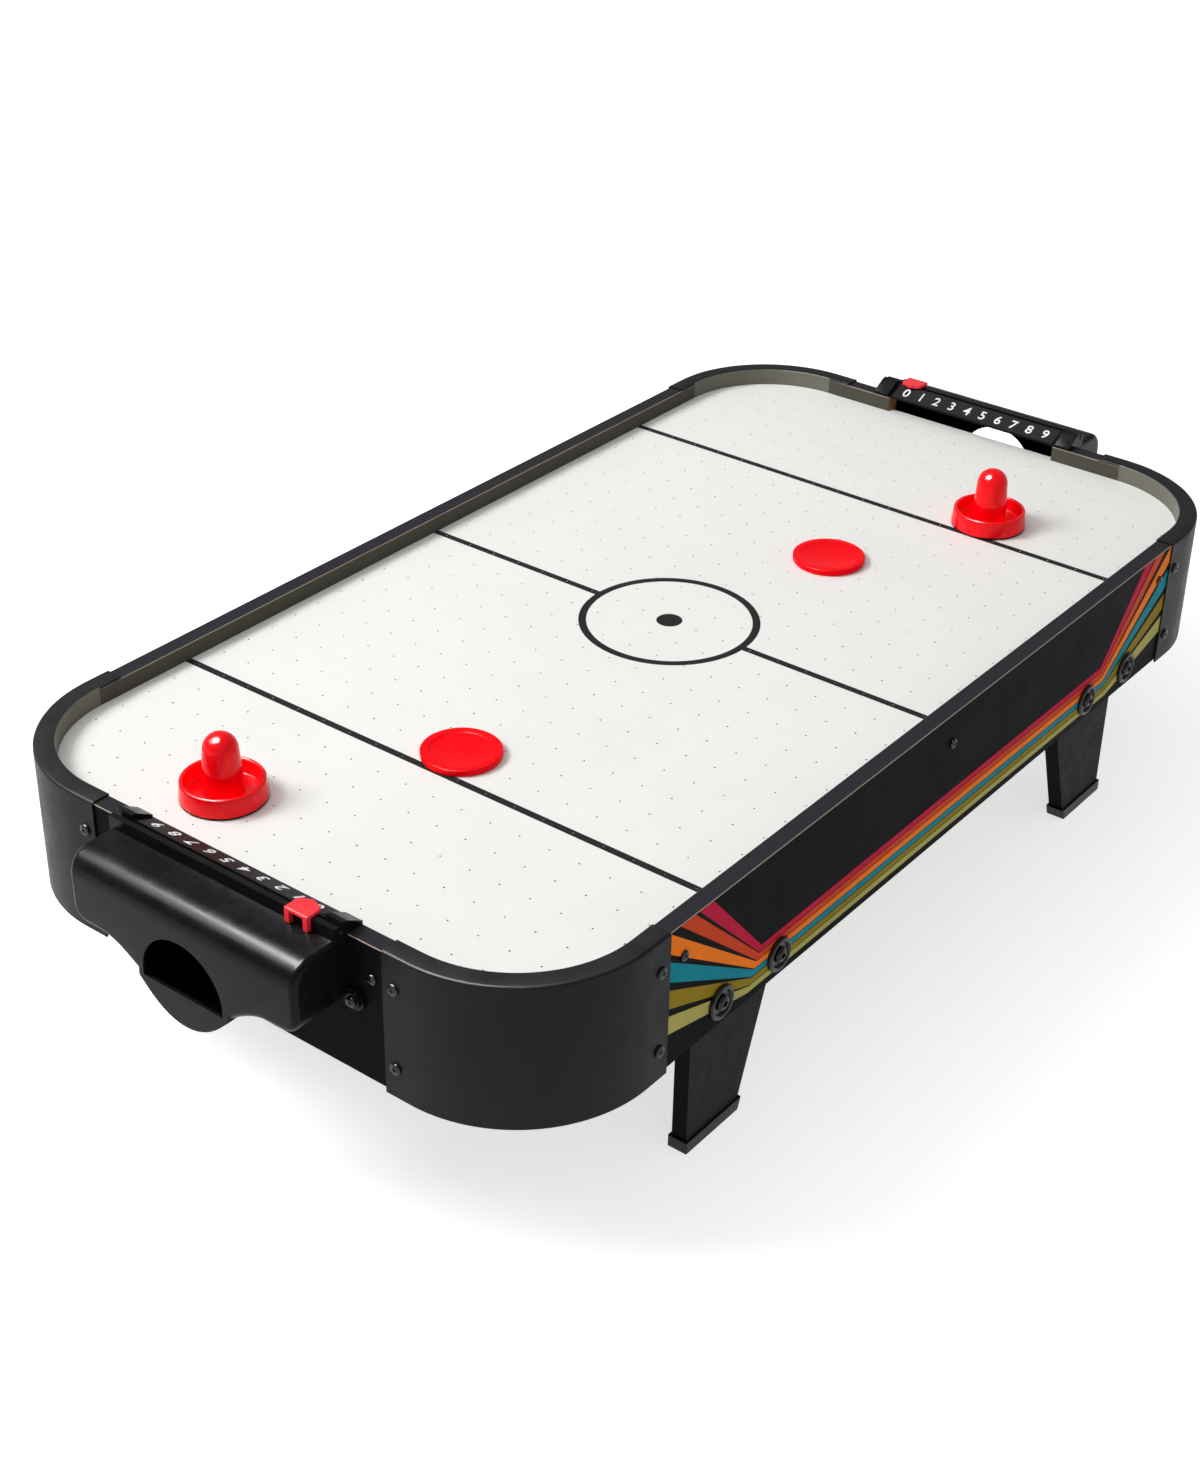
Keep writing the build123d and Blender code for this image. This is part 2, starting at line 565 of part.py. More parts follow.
def goal_screws():
    """Two ear screws for each goal box."""
    solids = []
    for side_x in (-1, 1):
        for side_y in (-1, 1):
            place = Pos(side_x * (BOARD_X + 5.1), side_y * EAR_Y, EAR_Z) * out_x(side_x)
            solids.append(place * pan_screw(15.5, 3.8))
    return group(solids)


# ---------------------------------------------------------------- legs
LEG_BOTTOM = 2.5
LEG_TOP = 150.0
LEG_SLOPE = 0.34
LEG_INNER_X = 231.0         # inner edge where the leg would meet the floor
CAP_WALL = 1.8
CAP_HEIGHT = 9.0
CAP_EDGE = 1.0              # rounding of the cap's upright edges


def leg_outline(grow, z0, z1):
    """Leg outline between two heights, grown sideways by grow."""
    low = LEG_INNER_X - LEG_SLOPE * z0 - grow
    high = LEG_INNER_X - LEG_SLOPE * z1 - grow
    return [(LEG_OUTER_X + grow, z0), (LEG_OUTER_X + grow, z1), (high, z1), (low, z0)]


def leg():
    """Tapered board bolted inside a side board."""
    board = Pos(0, INNER_Y, 0) * prism(Plane.XZ, leg_outline(0, LEG_BOTTOM, LEG_TOP), LEG_THICKNESS)
    for x in BOLT_X:
        board -= rod_y(x, INNER_Y - LEG_THICKNESS - 1, INNER_Y + 1, BOLT_Z, 3.1)
    return board


def foot_cap():
    """Plastic sock on the end of a leg."""
    place = Pos(0, INNER_Y + CAP_WALL, 0)
    outer = place * prism(Plane.XZ, leg_outline(CAP_WALL, 0, CAP_HEIGHT), LEG_THICKNESS + 2 * CAP_WALL)
    upright = [edge for edge in outer.edges() if edge.bounding_box().size.Z > CAP_HEIGHT / 2]
    outer = fillet(upright, CAP_EDGE)
    outer -= Pos(0, INNER_Y, 0) * prism(Plane.XZ, leg_outline(0, LEG_BOTTOM, CAP_HEIGHT + 5), LEG_THICKNESS)
    return outer


def leg_spots():
    """Every leg bolt as (x, side of the table)."""
    return [(side_x * x, side_y) for side_x, side_y in CORNERS.values() for x in BOLT_X]


def cup_washer():
    """Large dished washer with a rolled rim, on z = 0."""
    return turned([(3.2, 0), (12.5, 0), (12.5, 1.2), (11.6, 2.7), (10.4, 3.2), (9.2, 2.7), (8.0, 1.2), (3.2, 1.2)])


def leg_bolt():
    """Button-head bolt with a hexagon socket: head on z = 1.2, shank below."""
    head = turned([(0, 1.2), (6.0, 1.2), (6.0, 2.4), (5.0, 4.2), (3.2, 5.0), (0, 5.0)])
    head -= Pos(0, 0, 3.0) * extrude(RegularPolygon(2.4, 6), amount=4)
    return head + Pos(0, 0, 1.2 - 17.5) * Cylinder(3.0, 35)


def leg_nut():
    """Hexagon nut with a plain flange, hanging below z = 0."""
    nut = Pos(0, 0, -1.5) * Cylinder(8.0, 3.0 - 1.5 + 1.5)
    nut += Pos(0, 0, -8.0) * extrude(RegularPolygon(5.8, 6), amount=6)
    return nut - Pos(0, 0, -4) * Cylinder(3.05, 20)


def at_leg_bolts(piece, y):
    """One copy of a piece at each leg bolt, facing out of the side board."""
    return group([Pos(x, side * y, BOLT_Z) * out_y(side) * piece for x, side in leg_spots()])


# ---------------------------------------------------------------- pucks and pushers
PUSHER_SPOTS = {"left": (-382.0, 82.0), "right": (297.0, -103.0)}
PUCK_SPOTS = {"left": (-244.0, -5.0), "right": (160.0, -38.0)}
FELT = 1.2


def pusher():
    """Striker: ring wall around a cup, hollow domed grip in the middle."""
    wall = [(9.5, 0), (PUSHER_RADIUS, 0), (PUSHER_RADIUS, 1.0), (28.9, 11.6), (28.4, 12.8), (27.2, 13.4),
            (26.0, 12.9), (25.4, 11.8), (25.0, 5.2), (24.0, 4.2), (15.2, 4.2), (14.0, 5.2), (13.6, 20.0),
            (12.6, 34.0)]
    dome_height = 47.5
    dome = [(12.1 * cos(radians(a)), 35.5 + 12.0 * sin(radians(a))) for a in range(0, 90, 10)]
    inside = [(0, dome_height), (0, dome_height - 2.4)]
    cavity = [(9.6 * cos(radians(a)), 35.5 + 9.6 * sin(radians(a))) for a in range(80, -1, -10)]
    body = turned(wall + dome + inside + cavity)
    return body


def pusher_felt():
    """Felt pad under a striker."""
    return Pos(0, 0, -FELT / 2) * Cylinder(PUSHER_RADIUS - 0.6, FELT)


def puck():
    """Thin puck with a bevelled edge, a rim and a shallow dished face on both sides."""
    half = 2.4
    return turned([(0, -half + 0.5), (21.8, -half + 0.5), (22.6, -half), (PUCK_RADIUS - 0.8, -half),
                   (PUCK_RADIUS, -half + 0.8), (PUCK_RADIUS, half - 0.8), (PUCK_RADIUS - 0.8, half),
                   (22.6, half), (21.8, half - 0.5), (0, half - 0.5)])


# ---------------------------------------------------------------- assembly
def build():
    """Fills PARTS with every node in its place."""
    PARTS["playfield"] = playfield()
    PARTS["side_apron_front"] = side_apron(-1)
    PARTS["side_apron_back"] = cut_back_apron(side_apron(1))
    PARTS["end_apron_right"] = end_apron()
    PARTS["end_apron_left"] = Rot(0, 0, 180) * end_apron()
    guard = corner_guard()
    for name, (side_x, side_y) in CORNERS.items():
        PARTS["corner_guard_" + name] = quadrant(guard, side_x, side_y)
    PARTS["corner_guard_screws"] = guard_screws()
    PARTS["apron_screws"] = apron_screws()
    PARTS["plenum_rail_front"] = side_rail(-1)
    PARTS["plenum_rail_back"] = side_rail(1)
    PARTS["plenum_rail_left"] = end_rail(-1)
    PARTS["plenum_rail_right"] = end_rail(1)
    PARTS["plenum_corner_blocks"] = corner_blocks()
    PARTS["bottom_panel"] = bottom_panel()
    PARTS["bottom_panel_screws"] = panel_screws()
    PARTS["fan_housing"] = fan_housing()
    PARTS["fan_grille"] = fan_grille()
    PARTS["fan_screws"] = fan_screws()
    PARTS["fan_motor"] = fan_motor()
    PARTS["fan_impeller"] = fan_impeller()
    PARTS["fan_shaft"] = fan_shaft()
    PARTS["power_switch_body"] = switch_body()
    PARTS["power_switch_rocker"] = switch_rocker()
    PARTS["power_inlet"] = power_inlet()
    box = goal_box()
    for name, turn in (("right", 0), ("left", 180)):
        PARTS["goal_box_" + name] = Rot(0, 0, turn) * box
        PARTS["score_strip_" + name] = Rot(0, 0, turn) * score_strip()
        PARTS["score_slider_" + name] = Rot(0, 0, turn) * score_slider()
    PARTS["goal_box_screws"] = goal_screws()
    for name, (side_x, side_y) in CORNERS.items():
        PARTS["leg_" + name] = quadrant(leg(), side_x, side_y)
        PARTS["foot_cap_" + name] = quadrant(foot_cap(), side_x, side_y)
    PARTS["leg_bolts"] = at_leg_bolts(leg_bolt(), BOARD_Y)
    PARTS["leg_cup_washers"] = at_leg_bolts(cup_washer(), BOARD_Y)
    PARTS["leg_nuts"] = at_leg_bolts(leg_nut(), INNER_Y - LEG_THICKNESS)
    for name, (x, y) in PUSHER_SPOTS.items():
        base = FIELD_TOP + FLOAT_GAP + FELT
        PARTS["pusher_" + name] = Pos(x, y, base) * pusher()
        PARTS["pusher_felt_" + name] = Pos(x, y, base) * pusher_felt()
    for name, (x, y) in PUCK_SPOTS.items():
        PARTS["puck_" + name] = Pos(x, y, FIELD_TOP + FLOAT_GAP + 2.4) * puck()


build()
os.makedirs("parts", exist_ok=True)
for node, shape in PARTS.items():
    export_step(shape, "parts/" + node + ".step")
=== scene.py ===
"""Looks of the tabletop air hockey table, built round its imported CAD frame.  Metres, Z up."""
import json
from math import cos, pi, radians, sin

import bmesh
import bpy
from mathutils import Matrix, Vector

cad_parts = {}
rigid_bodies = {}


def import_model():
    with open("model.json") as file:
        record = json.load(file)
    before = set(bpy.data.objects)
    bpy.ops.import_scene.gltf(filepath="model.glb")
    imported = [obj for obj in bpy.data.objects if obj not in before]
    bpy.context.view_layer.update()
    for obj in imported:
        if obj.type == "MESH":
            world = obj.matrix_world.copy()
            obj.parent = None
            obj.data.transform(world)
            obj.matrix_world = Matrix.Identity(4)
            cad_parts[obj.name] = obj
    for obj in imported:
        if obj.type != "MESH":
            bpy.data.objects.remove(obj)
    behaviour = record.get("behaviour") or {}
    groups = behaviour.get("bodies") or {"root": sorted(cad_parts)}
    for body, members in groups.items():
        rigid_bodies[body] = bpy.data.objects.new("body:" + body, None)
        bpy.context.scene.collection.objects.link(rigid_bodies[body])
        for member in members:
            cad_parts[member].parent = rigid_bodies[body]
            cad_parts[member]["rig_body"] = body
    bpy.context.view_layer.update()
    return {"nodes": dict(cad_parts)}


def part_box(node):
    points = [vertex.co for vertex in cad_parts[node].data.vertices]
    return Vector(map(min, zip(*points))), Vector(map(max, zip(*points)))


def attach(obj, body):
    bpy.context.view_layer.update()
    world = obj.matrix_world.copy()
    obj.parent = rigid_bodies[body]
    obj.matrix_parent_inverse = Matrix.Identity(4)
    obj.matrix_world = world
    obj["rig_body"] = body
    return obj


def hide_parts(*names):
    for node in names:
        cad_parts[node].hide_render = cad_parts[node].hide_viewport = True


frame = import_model()
NODES = frame["nodes"]
MM = 0.001

# ---------------------------------------------------------------- places read from the frame
FIELD_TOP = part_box("playfield")[1].z
BOARD_LOW, BOARD_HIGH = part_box("side_apron_front")
END_LOW, END_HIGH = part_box("end_apron_right")
BOARD_Y = -BOARD_LOW.y
INNER_Y = -BOARD_HIGH.y
BOARD_X = END_HIGH.x
INNER_X = END_LOW.x
ARC_X = BOARD_HIGH.x
ARC_Y = END_HIGH.y
BOARD_TOP = BOARD_HIGH.z
BOARD_BOTTOM = BOARD_LOW.z
GUARD_LOW, GUARD_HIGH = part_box("corner_guard_back_right")
SIDES = {"front": -1, "back": 1}
ENDS = {"left": -1, "right": 1}
CORNERS = {"front_left": (-1, -1), "front_right": (1, -1), "back_left": (-1, 1), "back_right": (1, 1)}


# ---------------------------------------------------------------- materials
def linear(code):
    """Linear colour from a hex sRGB code."""
    channels = [int(code[i:i + 2], 16) / 255 for i in (0, 2, 4)]
    return tuple(c / 12.92 if c <= 0.04045 else ((c + 0.055) / 1.055) ** 2.4 for c in channels)


class Surface:
    """A Principled material with short calls for the nodes that drive it.

    Shine is the specular level.  It is low on blacks and prints, which would otherwise turn grey
    under the pale room.
    """

    def __init__(self, name, code, rough=0.4, metal=0.0, shine=0.5):
        self.material = bpy.data.materials.new(name)
        self.material.use_nodes = True
        self.tree = self.material.node_tree
        self.shader = self.tree.nodes["Principled BSDF"]
        self.colour = linear(code)
        self.shader.inputs["Base Color"].default_value = (*self.colour, 1)
        self.shader.inputs["Roughness"].default_value = rough
        self.shader.inputs["Metallic"].default_value = metal
        self.shader.inputs["Specular IOR Level"].default_value = shine
        self.place = self.node("ShaderNodeTexCoord").outputs["Object"]
        self.last_bump = None
        self.paint = None

    def node(self, kind, **settings):
        made = self.tree.nodes.new(kind)
        for key, value in settings.items():
            setattr(made, key, value)
        return made

    def link(self, source, target):
        self.tree.links.new(source, target)

    def stretched(self, x, y, z):
        """Object coordinates scaled by axis, for grain that runs one way."""
        mapping = self.node("ShaderNodeMapping")
        mapping.inputs["Scale"].default_value = (x, y, z)
        self.link(self.place, mapping.inputs["Vector"])
        return mapping.outputs["Vector"]

    def noise(self, scale, detail=3.0, rough=0.55, where=None, distortion=0.0):
        """Noise between 0 and 1; scale is in features per metre."""
        made = self.node("ShaderNodeTexNoise")
        made.inputs["Scale"].default_value = scale
        made.inputs["Detail"].default_value = detail
        made.inputs["Roughness"].default_value = rough
        made.inputs["Distortion"].default_value = distortion
        self.link(where or self.place, made.inputs["Vector"])
        return made.outputs["Fac"]

    def ramp(self, source, low, high, to_low=0.0, to_high=1.0):
        """Maps low..high onto to_low..to_high, and clamps."""
        made = self.node("ShaderNodeMapRange")
        made.inputs["From Min"].default_value = low
        made.inputs["From Max"].default_value = high
        made.inputs["To Min"].default_value = to_low
        made.inputs["To Max"].default_value = to_high
        self.link(source, made.inputs["Value"])
        return made.outputs["Result"]

    def maths(self, operation, first, second=None):
        """One sum on sockets or numbers."""
        made = self.node("ShaderNodeMath", operation=operation)
        for socket, value in zip(made.inputs, (first, second)):
            if value is None:
                continue
            if isinstance(value, (int, float)):
                socket.default_value = value
            else:
                self.link(value, socket)
        return made.outputs["Value"]

    def axes(self):
        """X, Y and Z of the place."""
        made = self.node("ShaderNodeSeparateXYZ")
        self.link(self.place, made.inputs["Vector"])
        return made.outputs["X"], made.outputs["Y"], made.outputs["Z"]

    def blend_colour(self, factor, code):
        """Mixes another colour over the present one, by factor."""
        made = self.node("ShaderNodeMix", data_type="RGBA")
        self.link(factor, made.inputs["Factor"])
        under, over = [socket for socket in made.inputs if socket.type == "RGBA"]
        if self.paint is None:
            under.default_value = (*self.colour, 1)
        else:
            self.link(self.paint, under)
        over.default_value = (*linear(code), 1)
        self.paint = next(socket for socket in made.outputs if socket.type == "RGBA")
        self.link(self.paint, self.shader.inputs["Base Color"])
        return self

    def roughness(self, source, low, high):
        """Gloss that varies with a noise."""
        self.link(self.ramp(source, 0.3, 0.7, low, high), self.shader.inputs["Roughness"])
        return self

    def bump(self, source, strength, height):
        """Relief of a given height, added to the relief so far."""
        made = self.node("ShaderNodeBump")
        made.inputs["Strength"].default_value = strength
        made.inputs["Distance"].default_value = height
        self.link(source, made.inputs["Height"])
        if self.last_bump is not None:
            self.link(self.last_bump, made.inputs["Normal"])
        self.last_bump = made.outputs["Normal"]
        self.link(self.last_bump, self.shader.inputs["Normal"])
        return self


def moulded(name, code, other, rough, grain, shine=0.3):
    """Moulded plastic: faint cloudy colour, patchy gloss and a fine grain."""
    made = Surface(name, code, rough, shine=shine)
    cloud = made.noise(14, 4)
    made.blend_colour(made.ramp(cloud, 0.35, 0.7, 0.0, 0.55), other)
    made.roughness(made.noise(55, 5), rough - 0.05, rough + 0.07)
    made.bump(made.noise(grain, 2), 0.25, 0.06 * MM)
    made.bump(made.noise(9, 2), 0.10, 0.6 * MM)
    return made.material


def field_material():
    """White laminate; the fibreboard shows brown inside the air holes and along the cut edge."""
    made = Surface("field_laminate", "EFEFEC", 0.34, shine=0.15)
    made.blend_colour(made.ramp(made.noise(5, 3), 0.4, 0.65, 0.0, 0.6), "EAEAE7")
    made.blend_colour(made.ramp(made.noise(420, 2), 0.70, 0.80, 0.0, 0.25), "D9D8D4")
    height = made.axes()[2]
    core = made.ramp(height, FIELD_TOP - 0.4 * MM, FIELD_TOP - 0.2 * MM, 1.0, 0.0)
    made.blend_colour(core, "93877A")
    made.roughness(made.noise(30, 4), 0.31, 0.38)
    made.bump(made.noise(700, 2), 0.12, 0.04 * MM)
    return made.material


def board_material(name, axis, outer, inner):
    """Laminated board: black outside, grey top, grey-olive inside, raw fibreboard at the cut edges.

    The laminate covers the outer and inner faces, found by their distance along one axis, the top
    and the bottom.  Every other face is cut.
    """
    made = Surface(name, "7A5230", 0.75, shine=0.015)
    made.blend_colour(made.ramp(made.noise(900, 3), 0.35, 0.65), "A97F52")
    made.blend_colour(made.ramp(made.noise(60, 4), 0.5, 0.8, 0.0, 0.7), "6B4526")
    place = made.axes()
    height = place[2]
    arris = made.ramp(height, BOARD_TOP - 0.9 * MM, BOARD_TOP - 0.8 * MM)
    made.blend_colour(made.maths("MULTIPLY", arris, 0.85), "A89A8C")
    across = made.maths("ABSOLUTE", place[axis])
    laminate = 0.06 * MM
    outside = made.ramp(across, outer - laminate, outer - laminate / 2)
    bottom = made.ramp(height, BOARD_BOTTOM + laminate / 2, BOARD_BOTTOM + laminate, 1.0, 0.0)
    top = made.ramp(height, BOARD_TOP - laminate, BOARD_TOP - laminate / 2)
    inside = made.ramp(across, inner + laminate / 2, inner + laminate, 1.0, 0.0)
    made.blend_colour(outside, "0C0D0F")
    made.blend_colour(bottom, "0C0D0F")
    made.blend_colour(inside, "504F46")
    made.blend_colour(top, "2F3034")
    skin = made.maths("MAXIMUM", made.maths("MAXIMUM", outside, inside), top)
    fleck = made.ramp(made.noise(260, 5, 0.7), 0.52, 0.75, 0.0, 0.012)
    made.blend_colour(made.maths("MULTIPLY", skin, fleck), "8A8D94")
    gloss = made.maths("SUBTRACT", 0.80, made.maths("MULTIPLY", skin, 0.36))
    patch = made.maths("ADD", gloss, made.ramp(made.noise(25, 4), 0.3, 0.7, -0.04, 0.06))
    made.link(patch, made.shader.inputs["Roughness"])
    made.bump(made.noise(1200, 2), 0.20, 0.05 * MM)
    return made.material


def leg_material():
    """Dark speckled laminate on the broad faces, plain black along the narrow edges."""
    made = Surface("leg_laminate", "0C0D0E", 0.5, shine=0.03)
    across = made.maths("ABSOLUTE", made.axes()[1])
    broad = made.ramp(across, INNER_Y - 0.2 * MM, INNER_Y - 0.1 * MM)
    made.blend_colour(made.maths("MULTIPLY", broad, 0.9), "212226")
    speck = made.ramp(made.noise(1150, 4, 0.7), 0.50, 0.68)
    made.blend_colour(made.maths("MULTIPLY", broad, made.maths("MULTIPLY", speck, 0.38)), "55575E")
    made.roughness(made.noise(60, 4), 0.42, 0.60)
    made.bump(made.noise(1150, 4, 0.7), 0.35, 0.06 * MM)
    return made.material


def metal(name, code, rough):
    """Plated metal with faint turning marks and worn patches."""
    made = Surface(name, code, rough, metal=1.0)
    made.blend_colour(made.ramp(made.noise(140, 4), 0.4, 0.7, 0.0, 0.3), "4A4A4C")
    made.roughness(made.noise(320, 5), rough - 0.06, rough + 0.12)
    made.bump(made.noise(1400, 3, where=made.stretched(1, 1, 5)), 0.2, 0.04 * MM)
    return made.material


def wood(name, code, dark, along):
    """Sawn softwood: grain lines along one axis."""
    made = Surface(name, code, 0.72)
    stretch = [60, 60, 60]
    stretch[along] = 3
    grain = made.noise(4, 6, 0.65, where=made.stretched(*stretch), distortion=0.6)
    made.blend_colour(made.ramp(grain, 0.42, 0.62), dark)
    made.blend_colour(made.ramp(made.noise(7, 2), 0.45, 0.7, 0.0, 0.35), "8F6B45")
    made.roughness(made.noise(40, 3), 0.62, 0.80)
    made.bump(grain, 0.35, 0.3 * MM)
    return made.material


def fibre(name, code, other, scale, bump, rough=0.9, shine=0.3):
    """Felt and pressed fibre: short tangled strands."""
    made = Surface(name, code, rough, shine=shine)
    tangle = made.noise(scale, 6, 0.8, distortion=1.2)
    made.blend_colour(made.ramp(tangle, 0.35, 0.65), other)
    made.roughness(made.noise(90, 3), rough - 0.08, rough + 0.05)
    made.bump(tangle, bump, 0.2 * MM)
    return made.material


def print_material(name, code):
    """A printed colour: thin ink with a faint roller texture."""
    made = Surface(name, code, shine=0.015)
    made.blend_colour(made.ramp(made.noise(22, 4), 0.35, 0.7, 0.0, 0.12), "1A1A1A")
    made.blend_colour(made.ramp(made.noise(900, 2), 0.45, 0.75, 0.0, 0.015), "F2F0E8")
    made.roughness(made.noise(30, 4), 0.33, 0.46)
    made.bump(made.noise(1200, 2), 0.15, 0.04 * MM)
    return made.material


STRIPES = [("crimson", "B00E36"), ("rust", "BE3E18"), ("orange", "E27216"), ("teal", "007A8A"),
           ("mustard", "84700F"), ("khaki", "9F9A52")]

FIELD = field_material()
SIDE_BOARD = board_material("side_board", 1, BOARD_Y, INNER_Y)
END_BOARD = board_material("end_board", 0, BOARD_X, INNER_X)
GUARD_LINER = moulded("guard_liner", "6B6A5F", "7A786C", 0.42, 1300, 0.15)
GUARD = moulded("guard_plastic", "131416", "191A1C", 0.42, 1500, 0.11)
BOX_BLACK = moulded("box_plastic", "0C0C0E", "101113", 0.26, 1300, 0.09)
STRIP = moulded("strip_film", "242222", "2D2A29", 0.40, 1600, 0.06)
RED = moulded("red_gloss", "FF0213", "F80110", 0.15, 500, 0.22)
PUCK_RED = moulded("puck_red", "FD0113", "F60110", 0.22, 700, 0.06)
CORAL = moulded("slider_red", "F83640", "F22E3A", 0.28, 900, 0.2)
CAP_BLACK = moulded("cap_plastic", "121315", "191A1C", 0.45, 1200)
FAN_BLACK = moulded("fan_plastic", "121314", "1A1B1C", 0.42, 1100)
SWITCH_BLACK = moulded("switch_plastic", "0F0F10", "161718", 0.25, 900)
WASHER = moulded("washer_black", "0C0D0E", "131415", 0.30, 1300, 0.35)
LEG = leg_material()
SCREW = metal("screw_black_nickel", "36373A", 0.24)
BOLT = metal("bolt_black_zinc", "2E2F32", 0.28)
ZINC = metal("zinc_plate", "B9BABD", 0.30)
STEEL = metal("ground_steel", "C8C9CC", 0.22)
LAMINATION = metal("motor_metal", "4C4D50", 0.40)
RAIL_X = wood("rail_wood_x", "C09A68", "A87E4E", 0)
RAIL_Y = wood("rail_wood_y", "C09A68", "A87E4E", 1)
HARDBOARD = fibre("hardboard", "4A382A", "5A4534", 500, 0.3, 0.8)
FELT = fibre("felt", "0C0A0A", "161414", 900, 0.8, 0.95, 0.05)
LINE_PRINT = print_material("line_print", "2B2A2B")
DIGIT_PRINT = print_material("digit_print", "F4F6FA")
STRIPE_PRINTS = {name: print_material("stripe_" + name, code) for name, code in STRIPES}


# ---------------------------------------------------------------- mesh helpers
def finish_mesh(bm, name, material, body, smooth=32):
    """Turns a bmesh into a piece that rides a body; edges sharper than smooth degrees stay sharp."""
    bmesh.ops.remove_doubles(bm, verts=bm.verts, dist=1e-7)
    bmesh.ops.recalc_face_normals(bm, faces=bm.faces)
    mesh = bpy.data.meshes.new(name)
    bm.to_mesh(mesh)
    bm.free()
    mesh.shade_smooth()
    mesh.set_sharp_from_angle(angle=radians(smooth))
    mesh.materials.append(material)
    piece = bpy.data.objects.new(name, mesh)
    bpy.context.scene.collection.objects.link(piece)
    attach(piece, body)
    return piece


def loose(bm, name):
    """A plain object from a bmesh, for cutting and for the floor."""
    bmesh.ops.recalc_face_normals(bm, faces=bm.faces)
    mesh = bpy.data.meshes.new(name)
    bm.to_mesh(mesh)
    bm.free()
    piece = bpy.data.objects.new(name, mesh)
    bpy.context.scene.collection.objects.link(piece)
    return piece


def bevelled(piece, width, segments, angle):
    """Rounds a piece's sharp edges."""
    made = piece.modifiers.new("rounded", "BEVEL")
    made.width = width
    made.segments = segments
    made.limit_method = "ANGLE"
    made.angle_limit = radians(angle)
    made.harden_normals = True
    made.use_clamp_overlap = True


def softened(node, width, material, segments=2, angle=35):
    """A copy of a CAD node with rejoined flat faces and rounded edges, which stands for the node."""
    source = NODES[node]
    bm = bmesh.new()
    bm.from_mesh(source.data)
    bmesh.ops.remove_doubles(bm, verts=bm.verts, dist=1e-6)
    bmesh.ops.dissolve_limit(bm, angle_limit=radians(2), verts=bm.verts, edges=bm.edges)
    piece = finish_mesh(bm, node + "_soft", material, source["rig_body"], smooth=angle)
    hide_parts(node)
    bevelled(piece, width, segments, angle)


def loft(bm, rings):
    """Skins a list of equal closed loops, and caps the ends."""
    loops = [[bm.verts.new(point) for point in ring] for ring in rings]
    for first, second in zip(loops, loops[1:]):
        for i in range(len(first)):
            j = (i + 1) % len(first)
            bm.faces.new((first[i], first[j], second[j], second[i]))
    bm.faces.new(loops[0])
    bm.faces.new(loops[-1])


def circle(radius, count):
    """Points evenly round a circle."""
    angles = [2 * pi * k / count for k in range(count)]
    return [(radius * cos(a), radius * sin(a)) for a in angles]


def lathe(profile, place=Matrix.Identity(4), segments=96):
    """A closed (radius, height) outline turned about Z; points on the axis close the ends."""
    bm = bmesh.new()
    rings = []
    for radius, height in profile:
        if radius < 1e-7:
            rings.append([bm.verts.new(place @ Vector((0, 0, height)))])
        else:
            ring = circle(radius, segments)
            rings.append([bm.verts.new(place @ Vector((x, y, height))) for x, y in ring])
    pairs = list(zip(rings, rings[1:]))
    if len(rings[0]) > 1 and len(rings[-1]) > 1:
        pairs.append((rings[-1], rings[0]))
    for low, high in pairs:
        for k in range(segments):
            n = (k + 1) % segments
            if len(low) == 1 and len(high) == 1:
                break
            if len(low) == 1:
                bm.faces.new((low[0], high[n], high[k]))
            elif len(high) == 1:
                bm.faces.new((low[k], low[n], high[0]))
            else:
                bm.faces.new((low[k], low[n], high[n], high[k]))
    return bm


def arc(cx, cy, radius, start, stop, steps):
    """Points along an arc, in degrees."""
    angles = [radians(start + (stop - start) * k / steps) for k in range(steps + 1)]
    return [(cx + radius * cos(a), cy + radius * sin(a)) for a in angles]


def scaled(points):
    """Points given in millimetres, in metres."""
    return [(x * MM, y * MM) for x, y in points]


def slab(bm, outline, place, thickness):
    """A flat outline with a thickness; place carries its own X, Y and Z into the frame."""
    low = [bm.verts.new(place @ Vector((x, y, 0))) for x, y in outline]
    high = [bm.verts.new(place @ Vector((x, y, thickness))) for x, y in outline]
    bm.faces.new(low)
    bm.faces.new(high)
    for i in range(len(outline)):
        j = (i + 1) % len(outline)
        bm.faces.new((low[i], low[j], high[j], high[i]))


def facing(direction, spot):
    """A matrix that turns +Z to point along a direction, at a spot."""
    turn = Vector(direction).to_track_quat("Z", "Y").to_matrix().to_4x4()
    return Matrix.Translation(spot) @ turn


def solid_boxes(node):
    """The low and high corners of each separate solid in a CAD node, sorted by place."""
    bm = bmesh.new()
    bm.from_mesh(NODES[node].data)
    bmesh.ops.remove_doubles(bm, verts=bm.verts, dist=1e-6)
    left = set(bm.verts)
    found = []
    while left:
        stack = [left.pop()]
        island = list(stack)
        while stack:
            for edge in stack.pop().link_edges:
                for vert in edge.verts:
                    if vert in left:
                        left.remove(vert)
                        stack.append(vert)
                        island.append(vert)
        low = [min(v.co[i] for v in island) for i in range(3)]
        high = [max(v.co[i] for v in island) for i in range(3)]
        found.append((Vector(low), Vector(high)))
    bm.free()
    return sorted(found, key=lambda corners: [round(value / MM) for value in corners[0]])


def cut(piece, cutter):
    """Takes a cutter's shape away from a piece, and returns the new mesh."""
    made = piece.modifiers.new("cut", "BOOLEAN")
    made.object = cutter
    made.operation = "DIFFERENCE"
    made.solver = "EXACT"
    bpy.context.view_layer.update()
    solid = piece.evaluated_get(bpy.context.evaluated_depsgraph_get())
    mesh = bpy.data.meshes.new_from_object(solid)
    piece.modifiers.clear()
    piece.data = mesh
    bpy.data.objects.remove(cutter)
    return mesh


